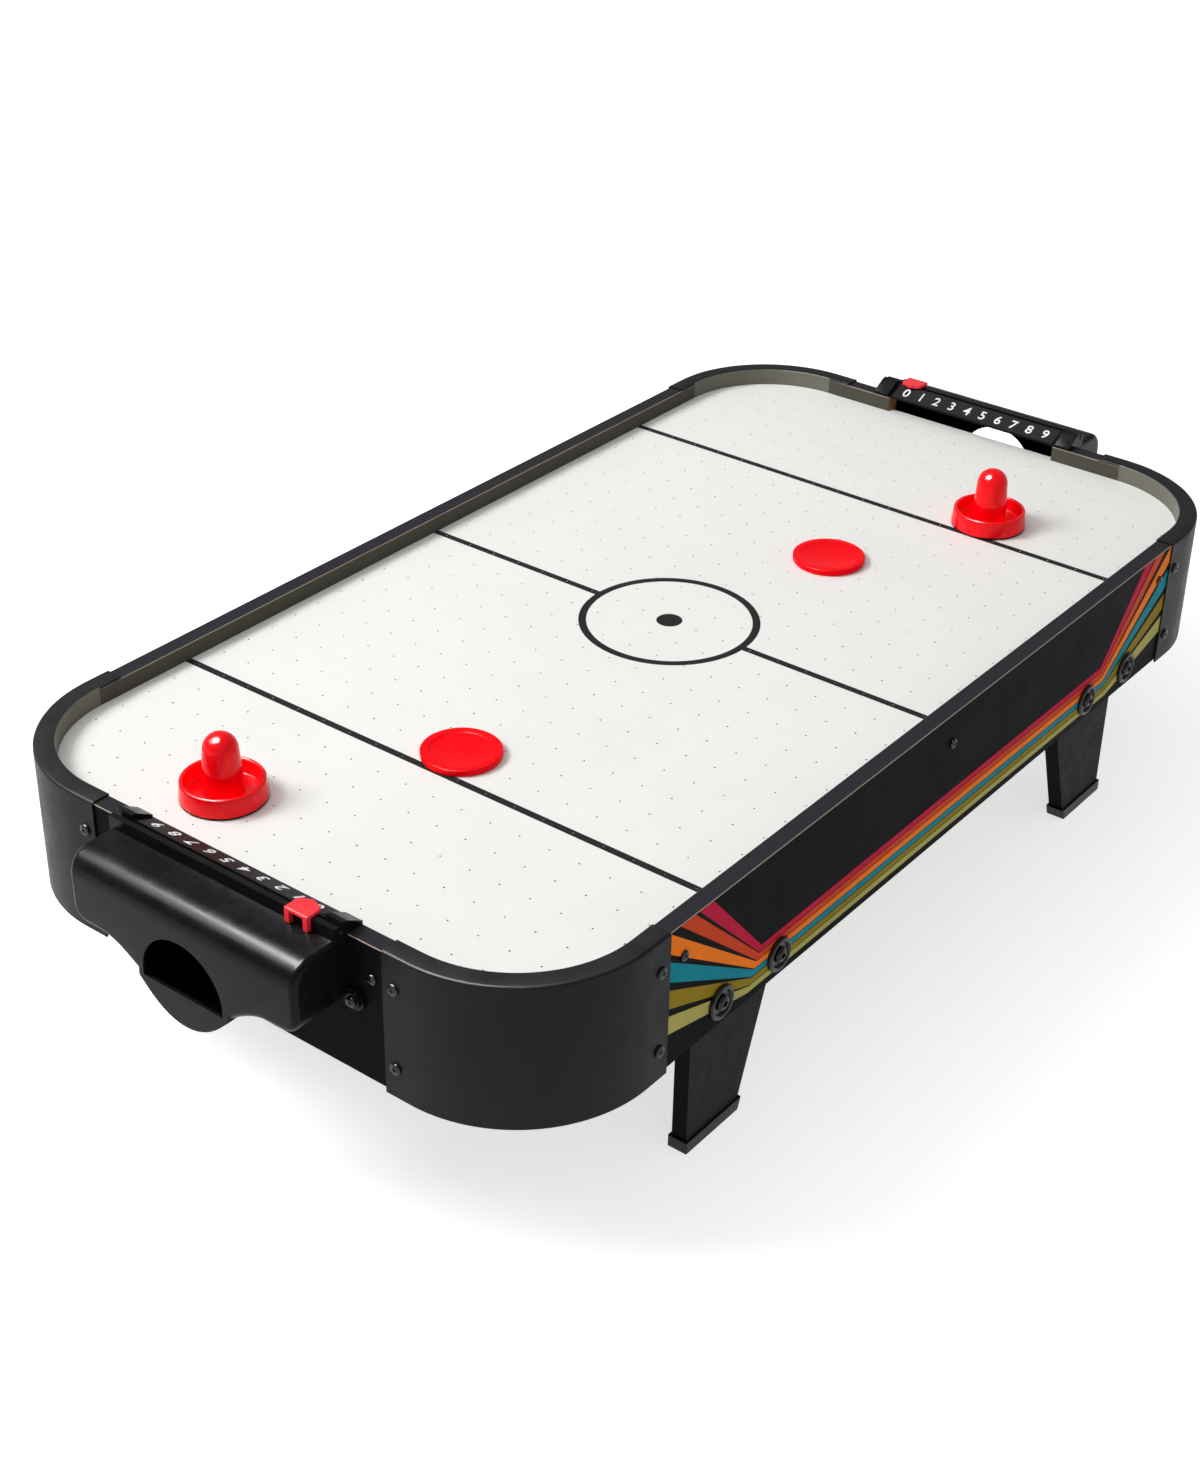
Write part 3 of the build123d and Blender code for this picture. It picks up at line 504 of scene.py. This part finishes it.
# ---------------------------------------------------------------- field print
LINE_WIDTH = 5.8 * MM
ZONE_X = 270.6 * MM         # from the middle of the field to each zone line
RING_OUTER = 68.4 * MM
DOT_RADIUS = 9.8 * MM
HOLE_PITCH = 24.6 * MM
HOLE_RADIUS = 0.7 * MM
HOLE_SIDES = 16
LAST_ROW = 9                # rows of air holes on each side of the middle row
INK = 0.12 * MM


def holed_cell(bm, x, y0, y1, hole_y, z):
    """A stretch of a line across the field, with a round hole left open over an air hole."""
    half = LINE_WIDTH / 2
    corners = [(x + half, y1), (x - half, y1), (x - half, y0), (x + half, y0)]
    corner_verts = [bm.verts.new((px, py, z)) for px, py in corners]
    hole = []
    edge = []
    for k in range(HOLE_SIDES):
        angle = 2 * pi * (k + 0.5) / HOLE_SIDES
        ux, uy = cos(angle), sin(angle)
        room_y = (y1 - hole_y) if uy > 0 else (hole_y - y0)
        reach = min(half / abs(ux), room_y / abs(uy))
        hole.append(bm.verts.new((x + HOLE_RADIUS * ux, hole_y + HOLE_RADIUS * uy, z)))
        edge.append(bm.verts.new((x + reach * ux, hole_y + reach * uy, z)))

    def side_of(point):
        """Which side of the cell a point lies on, counted from +X towards +Y."""
        gaps = [abs(point.x - x - half), abs(point.y - y1), abs(point.x - x + half), abs(point.y - y0)]
        return gaps.index(min(gaps))

    for k in range(HOLE_SIDES):
        n = (k + 1) % HOLE_SIDES
        loop = [hole[k], edge[k]]
        if side_of(edge[k].co) != side_of(edge[n].co):
            loop.append(corner_verts[side_of(edge[k].co)])
        loop += [edge[n], hole[n]]
        bm.faces.new(loop)


def thicken(bm, depth):
    """Gives a flat sheet of faces a body below it."""
    made = bmesh.ops.extrude_face_region(bm, geom=bm.faces[:])
    moved = [item for item in made["geom"] if isinstance(item, bmesh.types.BMVert)]
    bmesh.ops.translate(bm, verts=moved, vec=(0, 0, -depth))


def cross_line(name, x, gap=0.0):
    """A printed line across the field at x, open over each air hole; it stops at gap from the middle."""
    bm = bmesh.new()
    z = FIELD_TOP + INK
    edge = INNER_Y - 0.25 * MM
    for row in range(-LAST_ROW, LAST_ROW + 1):
        y = row * HOLE_PITCH
        y0 = -edge if row == -LAST_ROW else y - HOLE_PITCH / 2
        y1 = edge if row == LAST_ROW else y + HOLE_PITCH / 2
        if y1 < gap + LINE_WIDTH and y0 > -gap - LINE_WIDTH:
            continue
        if gap and y0 < gap < y1:
            y0 = gap
        if gap and y0 < -gap < y1:
            y1 = -gap
        holed_cell(bm, x, y0, y1, y, z)
    bmesh.ops.remove_doubles(bm, verts=bm.verts, dist=1e-6)
    thicken(bm, INK)
    finish_mesh(bm, name, LINE_PRINT, "table")


def ring_line(name, inner, outer, steps=128):
    """A printed ring round the middle of the field."""
    low, high = FIELD_TOP, FIELD_TOP + INK
    bm = lathe([(inner, low), (outer, low), (outer, high), (inner, high)], segments=steps)
    finish_mesh(bm, name, LINE_PRINT, "table")


def field_print():
    """Centre line, two zone lines, the centre ring and the dot."""
    cross_line("centre_line", 0.0, gap=RING_OUTER - 0.1 * MM)
    for name, side in ENDS.items():
        cross_line("zone_line_" + name, side * ZONE_X)
    ring_line("centre_ring", RING_OUTER - LINE_WIDTH, RING_OUTER)
    ring_line("centre_dot", HOLE_RADIUS, DOT_RADIUS, 64)


# ---------------------------------------------------------------- stripes on the side boards
BUNDLE_TOP = 144.3 * MM     # top of the level bundle in the middle of the board
BAND = 4.55 * MM
BAND_PITCH = 5.25 * MM
KINK_X = 231.5 * MM         # where the top band leaves the bundle
KINK_LEAN = 0.45            # how far the kinks lean outward, per height below the top band
FAN_EDGE_X = 336.0 * MM     # the fan runs on under the corner guard's skin to here
FILM = 0.14 * MM
STRIPE_DROP = 0.7 * MM      # the print stops this far below the top of the board
# Where the upper and lower edges of each fanned band end, in millimetres: for the first two bands
# the x at which they meet the top of the board, and for the others the height on the guard's edge.
FAN_TOPS = {"crimson": (289.0, 303.5), "rust": (307.5, 323.0)}
FAN_SIDES = {"orange": (212.6, 197.2), "teal": (191.3, 175.6), "mustard": (169.2, 154.6),
             "khaki": (148.6, 134.2)}


def clipped(outline, top):
    """The part of an outline below a height."""
    kept = []
    for (x0, z0), (x1, z1) in zip(outline, outline[1:] + outline[:1]):
        if z0 <= top:
            kept.append((x0, z0))
        if (z0 - top) * (z1 - top) < 0:
            share = (top - z0) / (z1 - z0)
            kept.append((x0 + share * (x1 - x0), top))
    return kept


def stripe_outline(index, name):
    """One band on a side board as (x, z): a level middle that fans up and outward at both ends."""
    upper = BUNDLE_TOP - index * BAND_PITCH
    lower = upper - BAND
    kink_upper = KINK_X + (BUNDLE_TOP - upper) * KINK_LEAN
    kink_lower = KINK_X + (BUNDLE_TOP - lower) * KINK_LEAN
    top = BOARD_TOP - STRIPE_DROP
    if name in FAN_TOPS:
        near, far = FAN_TOPS[name]
        end_upper, end_lower = (near * MM, BOARD_TOP), (far * MM, BOARD_TOP)
    else:
        high, low = FAN_SIDES[name]
        end_upper, end_lower = (FAN_EDGE_X, high * MM), (FAN_EDGE_X, low * MM)
    half = [(kink_upper, upper), end_upper, end_lower, (kink_lower, lower)]
    outline = half + [(-x, z) for x, z in reversed(half)]
    return clipped(outline, top)


def open_under(piece, node, round_flange):
    """Opens a band under the flange of a fitting in the back board."""
    low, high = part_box(node)
    middle = (low + high) / 2
    middle.y = BOARD_Y - 2 * MM
    half_x = (high.x - low.x) / 2 - 0.6 * MM
    half_z = (high.z - low.z) / 2 - 0.6 * MM
    outline = [(-half_x, -half_z), (half_x, -half_z), (half_x, half_z), (-half_x, half_z)]
    if round_flange:
        outline = circle(half_x, 32)
    bm = bmesh.new()
    slab(bm, outline, Matrix.Translation(middle) @ Matrix.Rotation(radians(-90), 4, "X"), 4 * MM)
    cut(piece, loose(bm, "cutter"))


def stripes():
    """Six printed bands on each long board."""
    for side_name, side in SIDES.items():
        for index, (name, ink) in enumerate(STRIPE_PRINTS.items()):
            bm = bmesh.new()
            outline = stripe_outline(index, name)
            rows = []
            for depth in (0.0, FILM):
                y = side * (BOARD_Y + depth)
                rows.append([bm.verts.new((x, y, z)) for x, z in outline])
            for row in rows:
                bm.faces.new(row)
            for i in range(len(outline)):
                j = (i + 1) % len(outline)
                bm.faces.new((rows[0][i], rows[0][j], rows[1][j], rows[1][i]))
            piece = finish_mesh(bm, f"stripe_{side_name}_{name}", ink, "table")
            if side_name == "back":
                open_under(piece, "power_switch_body", False)
                open_under(piece, "power_inlet", True)


# ---------------------------------------------------------------- corner guards
GUARD_ROLL = 2.2 * MM       # rounding of the outer top edge
GUARD_LIP = 0.8 * MM        # rounding of the inner top edge
GUARD_WALL = 2.4 * MM       # thickness of the wall round the inside of the bend
BEND_STEPS = 28
RIB_ANGLES = (1, 45, 89)
RIB_HALF = 0.75 * MM
HAIR = 0.01 * MM            # keeps two rings or two walls from lying in one place


def guard_path(lap):
    """Plan path round the +X +Y corner, and by lap along both boards.

    Each point comes with its outward direction, and lies on the boards' inner face.
    """
    radius = INNER_X - ARC_X
    path = []
    if lap:
        path += [((ARC_X - lap, INNER_Y), (0, 1)), ((ARC_X - HAIR, INNER_Y), (0, 1))]
    for k in range(BEND_STEPS + 1):
        angle = radians(90 - 90 * k / BEND_STEPS)
        out = (cos(angle), sin(angle))
        path.append(((ARC_X + radius * out[0], ARC_Y + radius * out[1]), out))
    if lap:
        path += [((INNER_X, ARC_Y - HAIR), (1, 0)), ((INNER_X, ARC_Y - lap), (1, 0))]
    return path


def sweep(bm, path, section, side_x, side_y):
    """Carries an (outward, height) section along a plan path, into the corner given by the signs."""
    rings = []
    for (x, y), (ox, oy) in path:
        rings.append([(side_x * (x + d * ox), side_y * (y + d * oy), z) for d, z in section])
    loft(bm, rings)


def guard_rib(bm, angle, wall, bottom, side_x, side_y):
    """An upright web between a guard's inner wall and its skin."""
    out = Vector((cos(radians(angle)), sin(radians(angle)), 0))
    across = Vector((-out.y, out.x, 0)) * RIB_HALF
    base = Vector((ARC_X, ARC_Y, 0)) + out * (INNER_X - ARC_X + 1 * MM)
    rings = []
    for point in (base, base + out * (wall - 1 * MM)):
        left, right = point - across, point + across
        low, high = bottom + 2 * MM, BOARD_TOP
        ring = [(left, low), (right, low), (right, high), (left, high)]
        rings.append([(side_x * p.x, side_y * p.y, z) for p, z in ring])
    loft(bm, rings)


def corner_guards():
    """Skin with a rolled top edge lapping both boards, an inner wall round the bend, and ribs."""
    wall = BOARD_X - INNER_X
    outer = wall + GUARD_HIGH.y - BOARD_Y
    top, bottom = GUARD_HIGH.z, GUARD_LOW.z
    lap = ARC_X - GUARD_LOW.x
    cover = [(wall, bottom), (outer, bottom)]
    cover += arc(outer - GUARD_ROLL, top - GUARD_ROLL, GUARD_ROLL, 0, 90, 6)
    cover += arc(GUARD_LIP, top - GUARD_LIP, GUARD_LIP, 90, 180, 4)
    cover += [(0, BOARD_TOP), (wall, BOARD_TOP)]
    high = BOARD_TOP + 0.3 * MM
    inner = [(HAIR, bottom), (GUARD_WALL, bottom), (GUARD_WALL, high), (HAIR, high)]
    for name, (side_x, side_y) in CORNERS.items():
        bm = bmesh.new()
        sweep(bm, guard_path(lap), cover, side_x, side_y)
        sweep(bm, guard_path(0), inner, side_x, side_y)
        for angle in RIB_ANGLES:
            guard_rib(bm, angle, wall, bottom, side_x, side_y)
        piece = finish_mesh(bm, "guard_shell_" + name, GUARD, "table", 25)
        piece.data.materials.append(GUARD_LINER)
        for face in piece.data.polygons:
            x, y = side_x * face.center.x - ARC_X, side_y * face.center.y - ARC_Y
            away = Vector((x, y))
            facing_out = side_x * face.normal.x * x + side_y * face.normal.y * y
            on_liner = away.length < INNER_X - ARC_X + 0.5 * MM
            if x > 0 and y > 0 and on_liner and facing_out < -0.5 * away.length:
                face.material_index = 1
        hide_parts("corner_guard_" + name)


# ---------------------------------------------------------------- screws, bolts, washers
def cross_outline(radius, half):
    """A plus sign."""
    arm = [(radius, -half), (radius, half), (half, half)]
    outline = []
    for turn in range(4):
        c, d = (1, 0, -1, 0)[turn], (0, 1, 0, -1)[turn]
        outline += [(x * c - y * d, x * d + y * c) for x, y in arm]
    return outline


SCREW_HEAD = 2.4 * MM       # height of a pan head
SCREW_EDGE = 0.42           # share of that height at the head's edge
SCREW_SHANK = 1.55 * MM
SCREW_TIP = 3 * MM
RECESS_ARM = 0.52           # reach of the cross recess, as a share of the head's radius
RECESS_HALF = 0.42 * MM
RECESS_DEPTH = 1.3 * MM


def screw_mesh(head_radius, length):
    """Pan head with a cross recess, a shank and a pointed tip, along +Z."""
    profile = [(0, -length), (SCREW_SHANK, -length + SCREW_TIP), (SCREW_SHANK, 0)]
    profile += [(head_radius - 0.3 * MM, 0), (head_radius, 0.25 * MM)]
    for angle in range(6, 88, 9):
        rise = SCREW_EDGE + (1 - SCREW_EDGE) * sin(radians(angle))
        profile.append((head_radius * cos(radians(angle)), SCREW_HEAD * rise))
    profile.append((0, SCREW_HEAD))
    piece = loose(lathe(profile, segments=32), "screw")
    recess = bmesh.new()
    outline = cross_outline(head_radius * RECESS_ARM, RECESS_HALF)
    slab(recess, outline, Matrix.Translation((0, 0, SCREW_HEAD - RECESS_DEPTH)), 3 * MM)
    made = cut(piece, loose(recess, "cutter"))
    bpy.data.objects.remove(piece)
    return made


def repeated(name, node, source, places, material):
    """Copies of one mesh at each place, as one piece that stands for a CAD node."""
    bm = bmesh.new()
    for place in places:
        copy = source.copy()
        copy.transform(place)
        bm.from_mesh(copy)
        bpy.data.meshes.remove(copy)
    piece = finish_mesh(bm, name, material, "table", 30)
    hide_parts(node)


def head_places(node, thickness):
    """Where each screw of a node seats and which way its head faces, read from its solids.

    Thickness is the CAD head's height.  The heads are left at different turns.
    """
    places = []
    for low, high in solid_boxes(node):
        middle = (low + high) / 2
        size = high - low
        axis = max(range(3), key=lambda i: size[i])
        out = Vector((0, 0, 0))
        if axis == 2:
            out.z = -1
            middle.z = low.z + thickness
        else:
            out[axis] = 1 if middle[axis] > 0 else -1
            middle[axis] = (high[axis] if middle[axis] > 0 else low[axis]) - out[axis] * thickness
        turn = radians(37 * (len(places) * 5 % 9))
        places.append(facing(out, middle) @ Matrix.Rotation(turn, 4, "Z"))
    return places


# Head radius, and length below the head, in millimetres.
SCREWS = {"corner_guard_screws": (4.2, 11.0), "apron_screws": (3.8, 23.0), "goal_box_screws": (3.8, 15.0),
          "bottom_panel_screws": (4.2, 11.5), "fan_screws": (3.6, 32.0)}
CAD_HEAD = 2.2 * MM


def screws():
    """Cross-head screws: zinc in the bottom panel, and black nickel everywhere else."""
    for node, (radius, length) in SCREWS.items():
        material = ZINC if node == "bottom_panel_screws" else SCREW
        mesh = screw_mesh(radius * MM, length * MM)
        repeated(node + "_detail", node, mesh, head_places(node, CAD_HEAD), material)


def leg_bolts():
    """Rolled cup washers, and a hexagon-socket bolt in each."""
    profile = [(3.2, 0), (12.3, 0), (12.5, 0.3)]
    profile += arc(10.75, 1.45, 1.75, 0, 165, 12)
    profile += [(8.6, 0.9), (7.8, 0.7), (3.2, 0.7)]
    washer = loose(lathe(scaled(profile), segments=64), "washer")
    seats = []
    for low, high in solid_boxes("leg_cup_washers"):
        middle = (low + high) / 2
        side = 1 if middle.y > 0 else -1
        seats.append(facing((0, side, 0), (middle.x, side * BOARD_Y, middle.z)))
    repeated("cup_washers_detail", "leg_cup_washers", washer.data, seats, WASHER)
    bpy.data.objects.remove(washer)
    head = [(0, -33.0), (2.6, -33.0), (3.0, -32.6), (3.0, 0.7), (5.3, 0.7), (5.6, 1.0), (5.6, 2.2)]
    head += [(5.6 * cos(radians(a)), 2.2 + 2.8 * sin(radians(a))) for a in range(12, 88, 12)]
    head += [(0, 5.0)]
    piece = loose(lathe(scaled(head), segments=48), "bolt")
    socket = bmesh.new()
    slab(socket, circle(2.4 * MM, 6), Matrix.Translation((0, 0, 2.4 * MM)), 4 * MM)
    bolt = cut(piece, loose(socket, "cutter"))
    bpy.data.objects.remove(piece)
    turned = [seat @ Matrix.Rotation(radians(11 * k), 4, "Z") for k, seat in enumerate(seats)]
    repeated("leg_bolts_detail", "leg_bolts", bolt, turned, BOLT)


# ---------------------------------------------------------------- pucks and pushers
FELT_LIP = 0.4 * MM         # how far the felt's fluffy edge stands out past the cut pad


def pusher_profile():
    """Half section of a pusher in millimetres, from the top of its hollow round to the top of its grip."""
    profile = [(0, 45.1)]
    profile += [(9.6 * cos(radians(a)), 35.4 + 9.6 * sin(radians(a))) for a in range(84, -1, -12)]
    profile += [(9.5, 0), (29.6, 0)] + arc(29.2, 0.8, 0.8, -45, 0, 3)
    profile += arc(27.25, 11.9, 1.55, 5, 175, 14)
    profile += [(25.5, 9.0), (25.15, 4.0)] + arc(24.1, 3.6, 1.0, -8, -90, 4)
    profile += arc(14.3, 3.2, 0.6, -90, -175, 4)
    profile += [(13.6, 9.0), (13.4, 16.0), (13.0, 25.0), (12.4, 32.5)]
    profile += [(12.15 * cos(radians(a)), 35.3 + 12.2 * sin(radians(a))) for a in range(0, 90, 6)]
    return profile + [(0, 47.5)]


def pushers():
    """Smooth turned strikers with rounded rims, and their felt pads."""
    profile = scaled(pusher_profile())
    for name in ENDS:
        low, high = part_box("pusher_" + name)
        middle = (low + high) / 2
        bm = lathe(profile, Matrix.Translation((middle.x, middle.y, low.z)), 112)
        piece = finish_mesh(bm, "pusher_body_" + name, RED, "pusher_" + name, smooth=40)
        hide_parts("pusher_" + name)
        low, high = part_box("pusher_felt_" + name)
        thick = high.z - low.z
        edge = (high.x - low.x) / 2 + FELT_LIP
        pad = [(0, 0), (edge - 0.5 * MM, 0), (edge, 0.4 * MM)]
        pad += [(edge, thick - 0.3 * MM), (edge - 0.3 * MM, thick), (0, thick)]
        bm = lathe(pad, Matrix.Translation((middle.x, middle.y, low.z)), 96)
        felt = finish_mesh(bm, "pusher_pad_" + name, FELT, "pusher_" + name)
        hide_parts("pusher_felt_" + name)


def pucks():
    """Thin discs with a rounded edge, a flat rim and a dished face."""
    upper = [(0, 1.75), (21.2, 1.75), (21.9, 1.95), (22.4, 2.3), (23.0, 2.4)]
    upper += arc(27.6, 1.5, 0.9, 90, 0, 6)
    profile = scaled(upper + [(r, -z) for r, z in reversed(upper)])
    for name in ENDS:
        low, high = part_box("puck_" + name)
        bm = lathe(profile, Matrix.Translation((low + high) / 2), 112)
        piece = finish_mesh(bm, "puck_body_" + name, PUCK_RED, "puck_" + name, smooth=40)
        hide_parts("puck_" + name)


# ---------------------------------------------------------------- goal boxes
DIGIT_PITCH = 15.5 * MM
DIGIT_HEIGHT = 9.6 * MM
DIGIT_LIFT = 0.22 * MM      # from the middle of the strip's thickness
DIGIT_BOLD = 0.014          # how far the strokes are widened, for type of size 1
DIGIT_DEPTH = 0.006         # half of the digits' thickness, for type of size 1


def digit_mesh(digit, height):
    """A bold digit as a thin closed mesh, upright in XY and centred."""
    curve = bpy.data.curves.new("digit", "FONT")
    curve.body = str(digit)
    curve.size = 1.0
    curve.offset = DIGIT_BOLD
    curve.extrude = DIGIT_DEPTH
    curve.resolution_u = 6
    holder = bpy.data.objects.new("digit", curve)
    bpy.context.scene.collection.objects.link(holder)
    bpy.context.view_layer.update()
    mesh = bpy.data.meshes.new_from_object(holder.evaluated_get(bpy.context.evaluated_depsgraph_get()))
    bpy.data.objects.remove(holder)
    xs = [v.co.x for v in mesh.vertices]
    ys = [v.co.y for v in mesh.vertices]
    scale = height / (max(ys) - min(ys))
    middle = Vector(((max(xs) + min(xs)) / 2, (max(ys) + min(ys)) / 2, 0))
    mesh.transform(Matrix.Diagonal((scale, scale, scale, 1)) @ Matrix.Translation(-middle))
    return mesh


def score_digits():
    """White digits 0 to 9 on each score strip, read from the field."""
    for name, side in ENDS.items():
        low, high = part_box("score_strip_" + name)
        rise = Vector((side * (high.x - low.x), 0, high.z - low.z)).normalized()
        right = Vector((0, -side, 0))
        normal = right.cross(rise)
        middle = (low + high) / 2
        turn = Matrix((right, rise, normal)).transposed().to_4x4()
        bm = bmesh.new()
        for digit in range(10):
            spot = middle + right * (digit - 4.5) * DIGIT_PITCH + normal * DIGIT_LIFT
            glyph = digit_mesh(digit, DIGIT_HEIGHT)
            glyph.transform(Matrix.Translation(spot) @ turn)
            bm.from_mesh(glyph)
            bpy.data.meshes.remove(glyph)
        finish_mesh(bm, "score_digits_" + name, DIGIT_PRINT, "table")


def goal_boxes():
    """Goal covers, their digits and sliders, with softened edges."""
    for name in ENDS:
        softened("goal_box_" + name, 0.5 * MM, BOX_BLACK, 2, 40)
        softened("score_slider_" + name, 0.45 * MM, CORAL, 3, 35)
    score_digits()


# ---------------------------------------------------------------- the rest of the CAD nodes
def dress(node, material):
    """Gives a CAD node its material."""
    holder = NODES[node]
    if not holder.data.materials:
        holder.data.materials.append(material)
    for slot in holder.material_slots:
        slot.link = "OBJECT"
        slot.material = material


def dress_nodes():
    """Materials for the CAD nodes that show as they are."""
    plain = {"playfield": FIELD, "side_apron_front": SIDE_BOARD, "side_apron_back": SIDE_BOARD,
             "end_apron_left": END_BOARD, "end_apron_right": END_BOARD,
             "plenum_rail_front": RAIL_X, "plenum_rail_back": RAIL_X, "plenum_rail_left": RAIL_Y,
             "plenum_rail_right": RAIL_Y, "plenum_corner_blocks": RAIL_Y, "bottom_panel": HARDBOARD,
             "fan_motor": LAMINATION, "fan_shaft": STEEL, "fan_impeller": FAN_BLACK,
             "score_strip_left": STRIP, "score_strip_right": STRIP, "leg_nuts": ZINC}
    for node, material in plain.items():
        dress(node, material)
    for corner in CORNERS:
        softened("leg_" + corner, 0.5 * MM, LEG, 2)
        softened("foot_cap_" + corner, 0.6 * MM, CAP_BLACK, 2)
    softened("fan_housing", 0.5 * MM, FAN_BLACK, 2)
    softened("fan_grille", 0.3 * MM, FAN_BLACK, 2)
    softened("power_switch_body", 0.3 * MM, SWITCH_BLACK, 2)
    softened("power_switch_rocker", 0.3 * MM, SWITCH_BLACK, 2)
    softened("power_inlet", 0.3 * MM, SWITCH_BLACK, 2)


# ---------------------------------------------------------------- floor, light, camera
FLOOR_HALF = 30.0
FLOOR_THICK = 0.02
BACKDROP_HEIGHT = 16.0
CAMERA_SPOT = (-1.2565, -0.8968, 1.0369)
CAMERA_AZIMUTH = 0.6526     # radians, from +X towards +Y
CAMERA_DIP = 0.5468         # radians below the horizon
CAMERA_ROLL = 0.0184
FOCAL_LENGTH = 57.35


def paper_material():
    """Pale paper that glows a little, and more so away from the table."""
    made = Surface("floor_paper", "D2D2D2", 0.8, shine=0.1)
    made.blend_colour(made.ramp(made.noise(2, 2), 0.4, 0.7, 0.0, 0.4), "CFCFCF")
    made.bump(made.noise(300, 2), 0.03, 0.1 * MM)
    made.shader.inputs["Emission Color"].default_value = (1, 1, 1, 1)
    away = made.node("ShaderNodeVectorMath", operation="LENGTH")
    made.link(made.place, away.inputs[0])
    glow = made.ramp(away.outputs["Value"], 2.0, 5.0, 0.67, 0.78)
    made.link(glow, made.shader.inputs["Emission Strength"])
    return made.material


def stage():
    """A plain pale floor, and a round wall of the same paper that only the camera sees."""
    paper = paper_material()
    bm = bmesh.new()
    edge = FLOOR_HALF
    outline = [(-edge, -edge), (edge, -edge), (edge, edge), (-edge, edge)]
    slab(bm, outline, Matrix.Translation((0, 0, -FLOOR_THICK)), FLOOR_THICK)
    floor = loose(bm, "floor")
    floor.data.materials.append(paper)
    near, far = FLOOR_HALF - 1.0, FLOOR_HALF - 0.9
    wall = [(near, -FLOOR_THICK), (far, -FLOOR_THICK), (far, BACKDROP_HEIGHT), (near, BACKDROP_HEIGHT)]
    backdrop = loose(lathe(wall, segments=96), "backdrop")
    backdrop.data.materials.append(paper)
    backdrop.visible_diffuse = False
    backdrop.visible_glossy = False
    backdrop.visible_shadow = False


def softbox(name, spot, target, size, power):
    """A rectangular area light aimed at a point."""
    lamp = bpy.data.lights.new(name, "AREA")
    lamp.shape = "RECTANGLE"
    lamp.size, lamp.size_y = size
    lamp.energy = power
    holder = bpy.data.objects.new(name, lamp)
    holder.location = spot
    holder.rotation_mode = "QUATERNION"
    holder.rotation_quaternion = (Vector(spot) - Vector(target)).to_track_quat("Z", "Y")
    bpy.context.scene.collection.objects.link(holder)
    return holder


def lights():
    """White surroundings, a weak top light, a strong side light, and a lamp seen only in reflections."""
    world = bpy.data.worlds.new("studio")
    world.use_nodes = True
    sky = world.node_tree.nodes["Background"]
    sky.inputs["Color"].default_value = (1, 1, 1, 1)
    sky.inputs["Strength"].default_value = 0.42
    bpy.context.scene.world = world
    softbox("top_light", spot=(-0.4, 0.9, 2.4), target=(0, 0, 0.1), size=(2.4, 2.4), power=12)
    softbox("key_light", spot=(-1.9, 2.3, 3.0), target=(-0.1, 0, 0.15), size=(1.85, 1.55), power=123)
    glint = softbox("glint_light", spot=(-0.85, 0.57, 2.1), target=(-0.3, 0, 0.15), size=(1.25, 1.25),
                    power=380)
    glint.visible_diffuse = False


def camera():
    """A camera above the near left corner that looks down along the table."""
    azimuth, dip, roll = CAMERA_AZIMUTH, CAMERA_DIP, CAMERA_ROLL
    ahead = Vector((cos(dip) * cos(azimuth), cos(dip) * sin(azimuth), -sin(dip)))
    side = ahead.cross(Vector((0, 0, 1))).normalized()
    above = side.cross(ahead)
    right = side * cos(roll) + above * sin(roll)
    up = above * cos(roll) - side * sin(roll)
    lens = bpy.data.cameras.new("camera")
    lens.lens = FOCAL_LENGTH
    lens.sensor_width = 36
    lens.clip_end = 50
    holder = bpy.data.objects.new("camera", lens)
    turn = Matrix((right, up, -ahead)).transposed().to_4x4()
    holder.matrix_world = Matrix.Translation(CAMERA_SPOT) @ turn
    bpy.context.scene.collection.objects.link(holder)
    bpy.context.scene.camera = holder


# ---------------------------------------------------------------- build
field_print()
stripes()
corner_guards()
screws()
leg_bolts()
pushers()
pucks()
dress_nodes()
goal_boxes()
stage()
lights()
camera()
bpy.context.scene.view_settings.view_transform = "Standard"
bpy.context.view_layer.update()
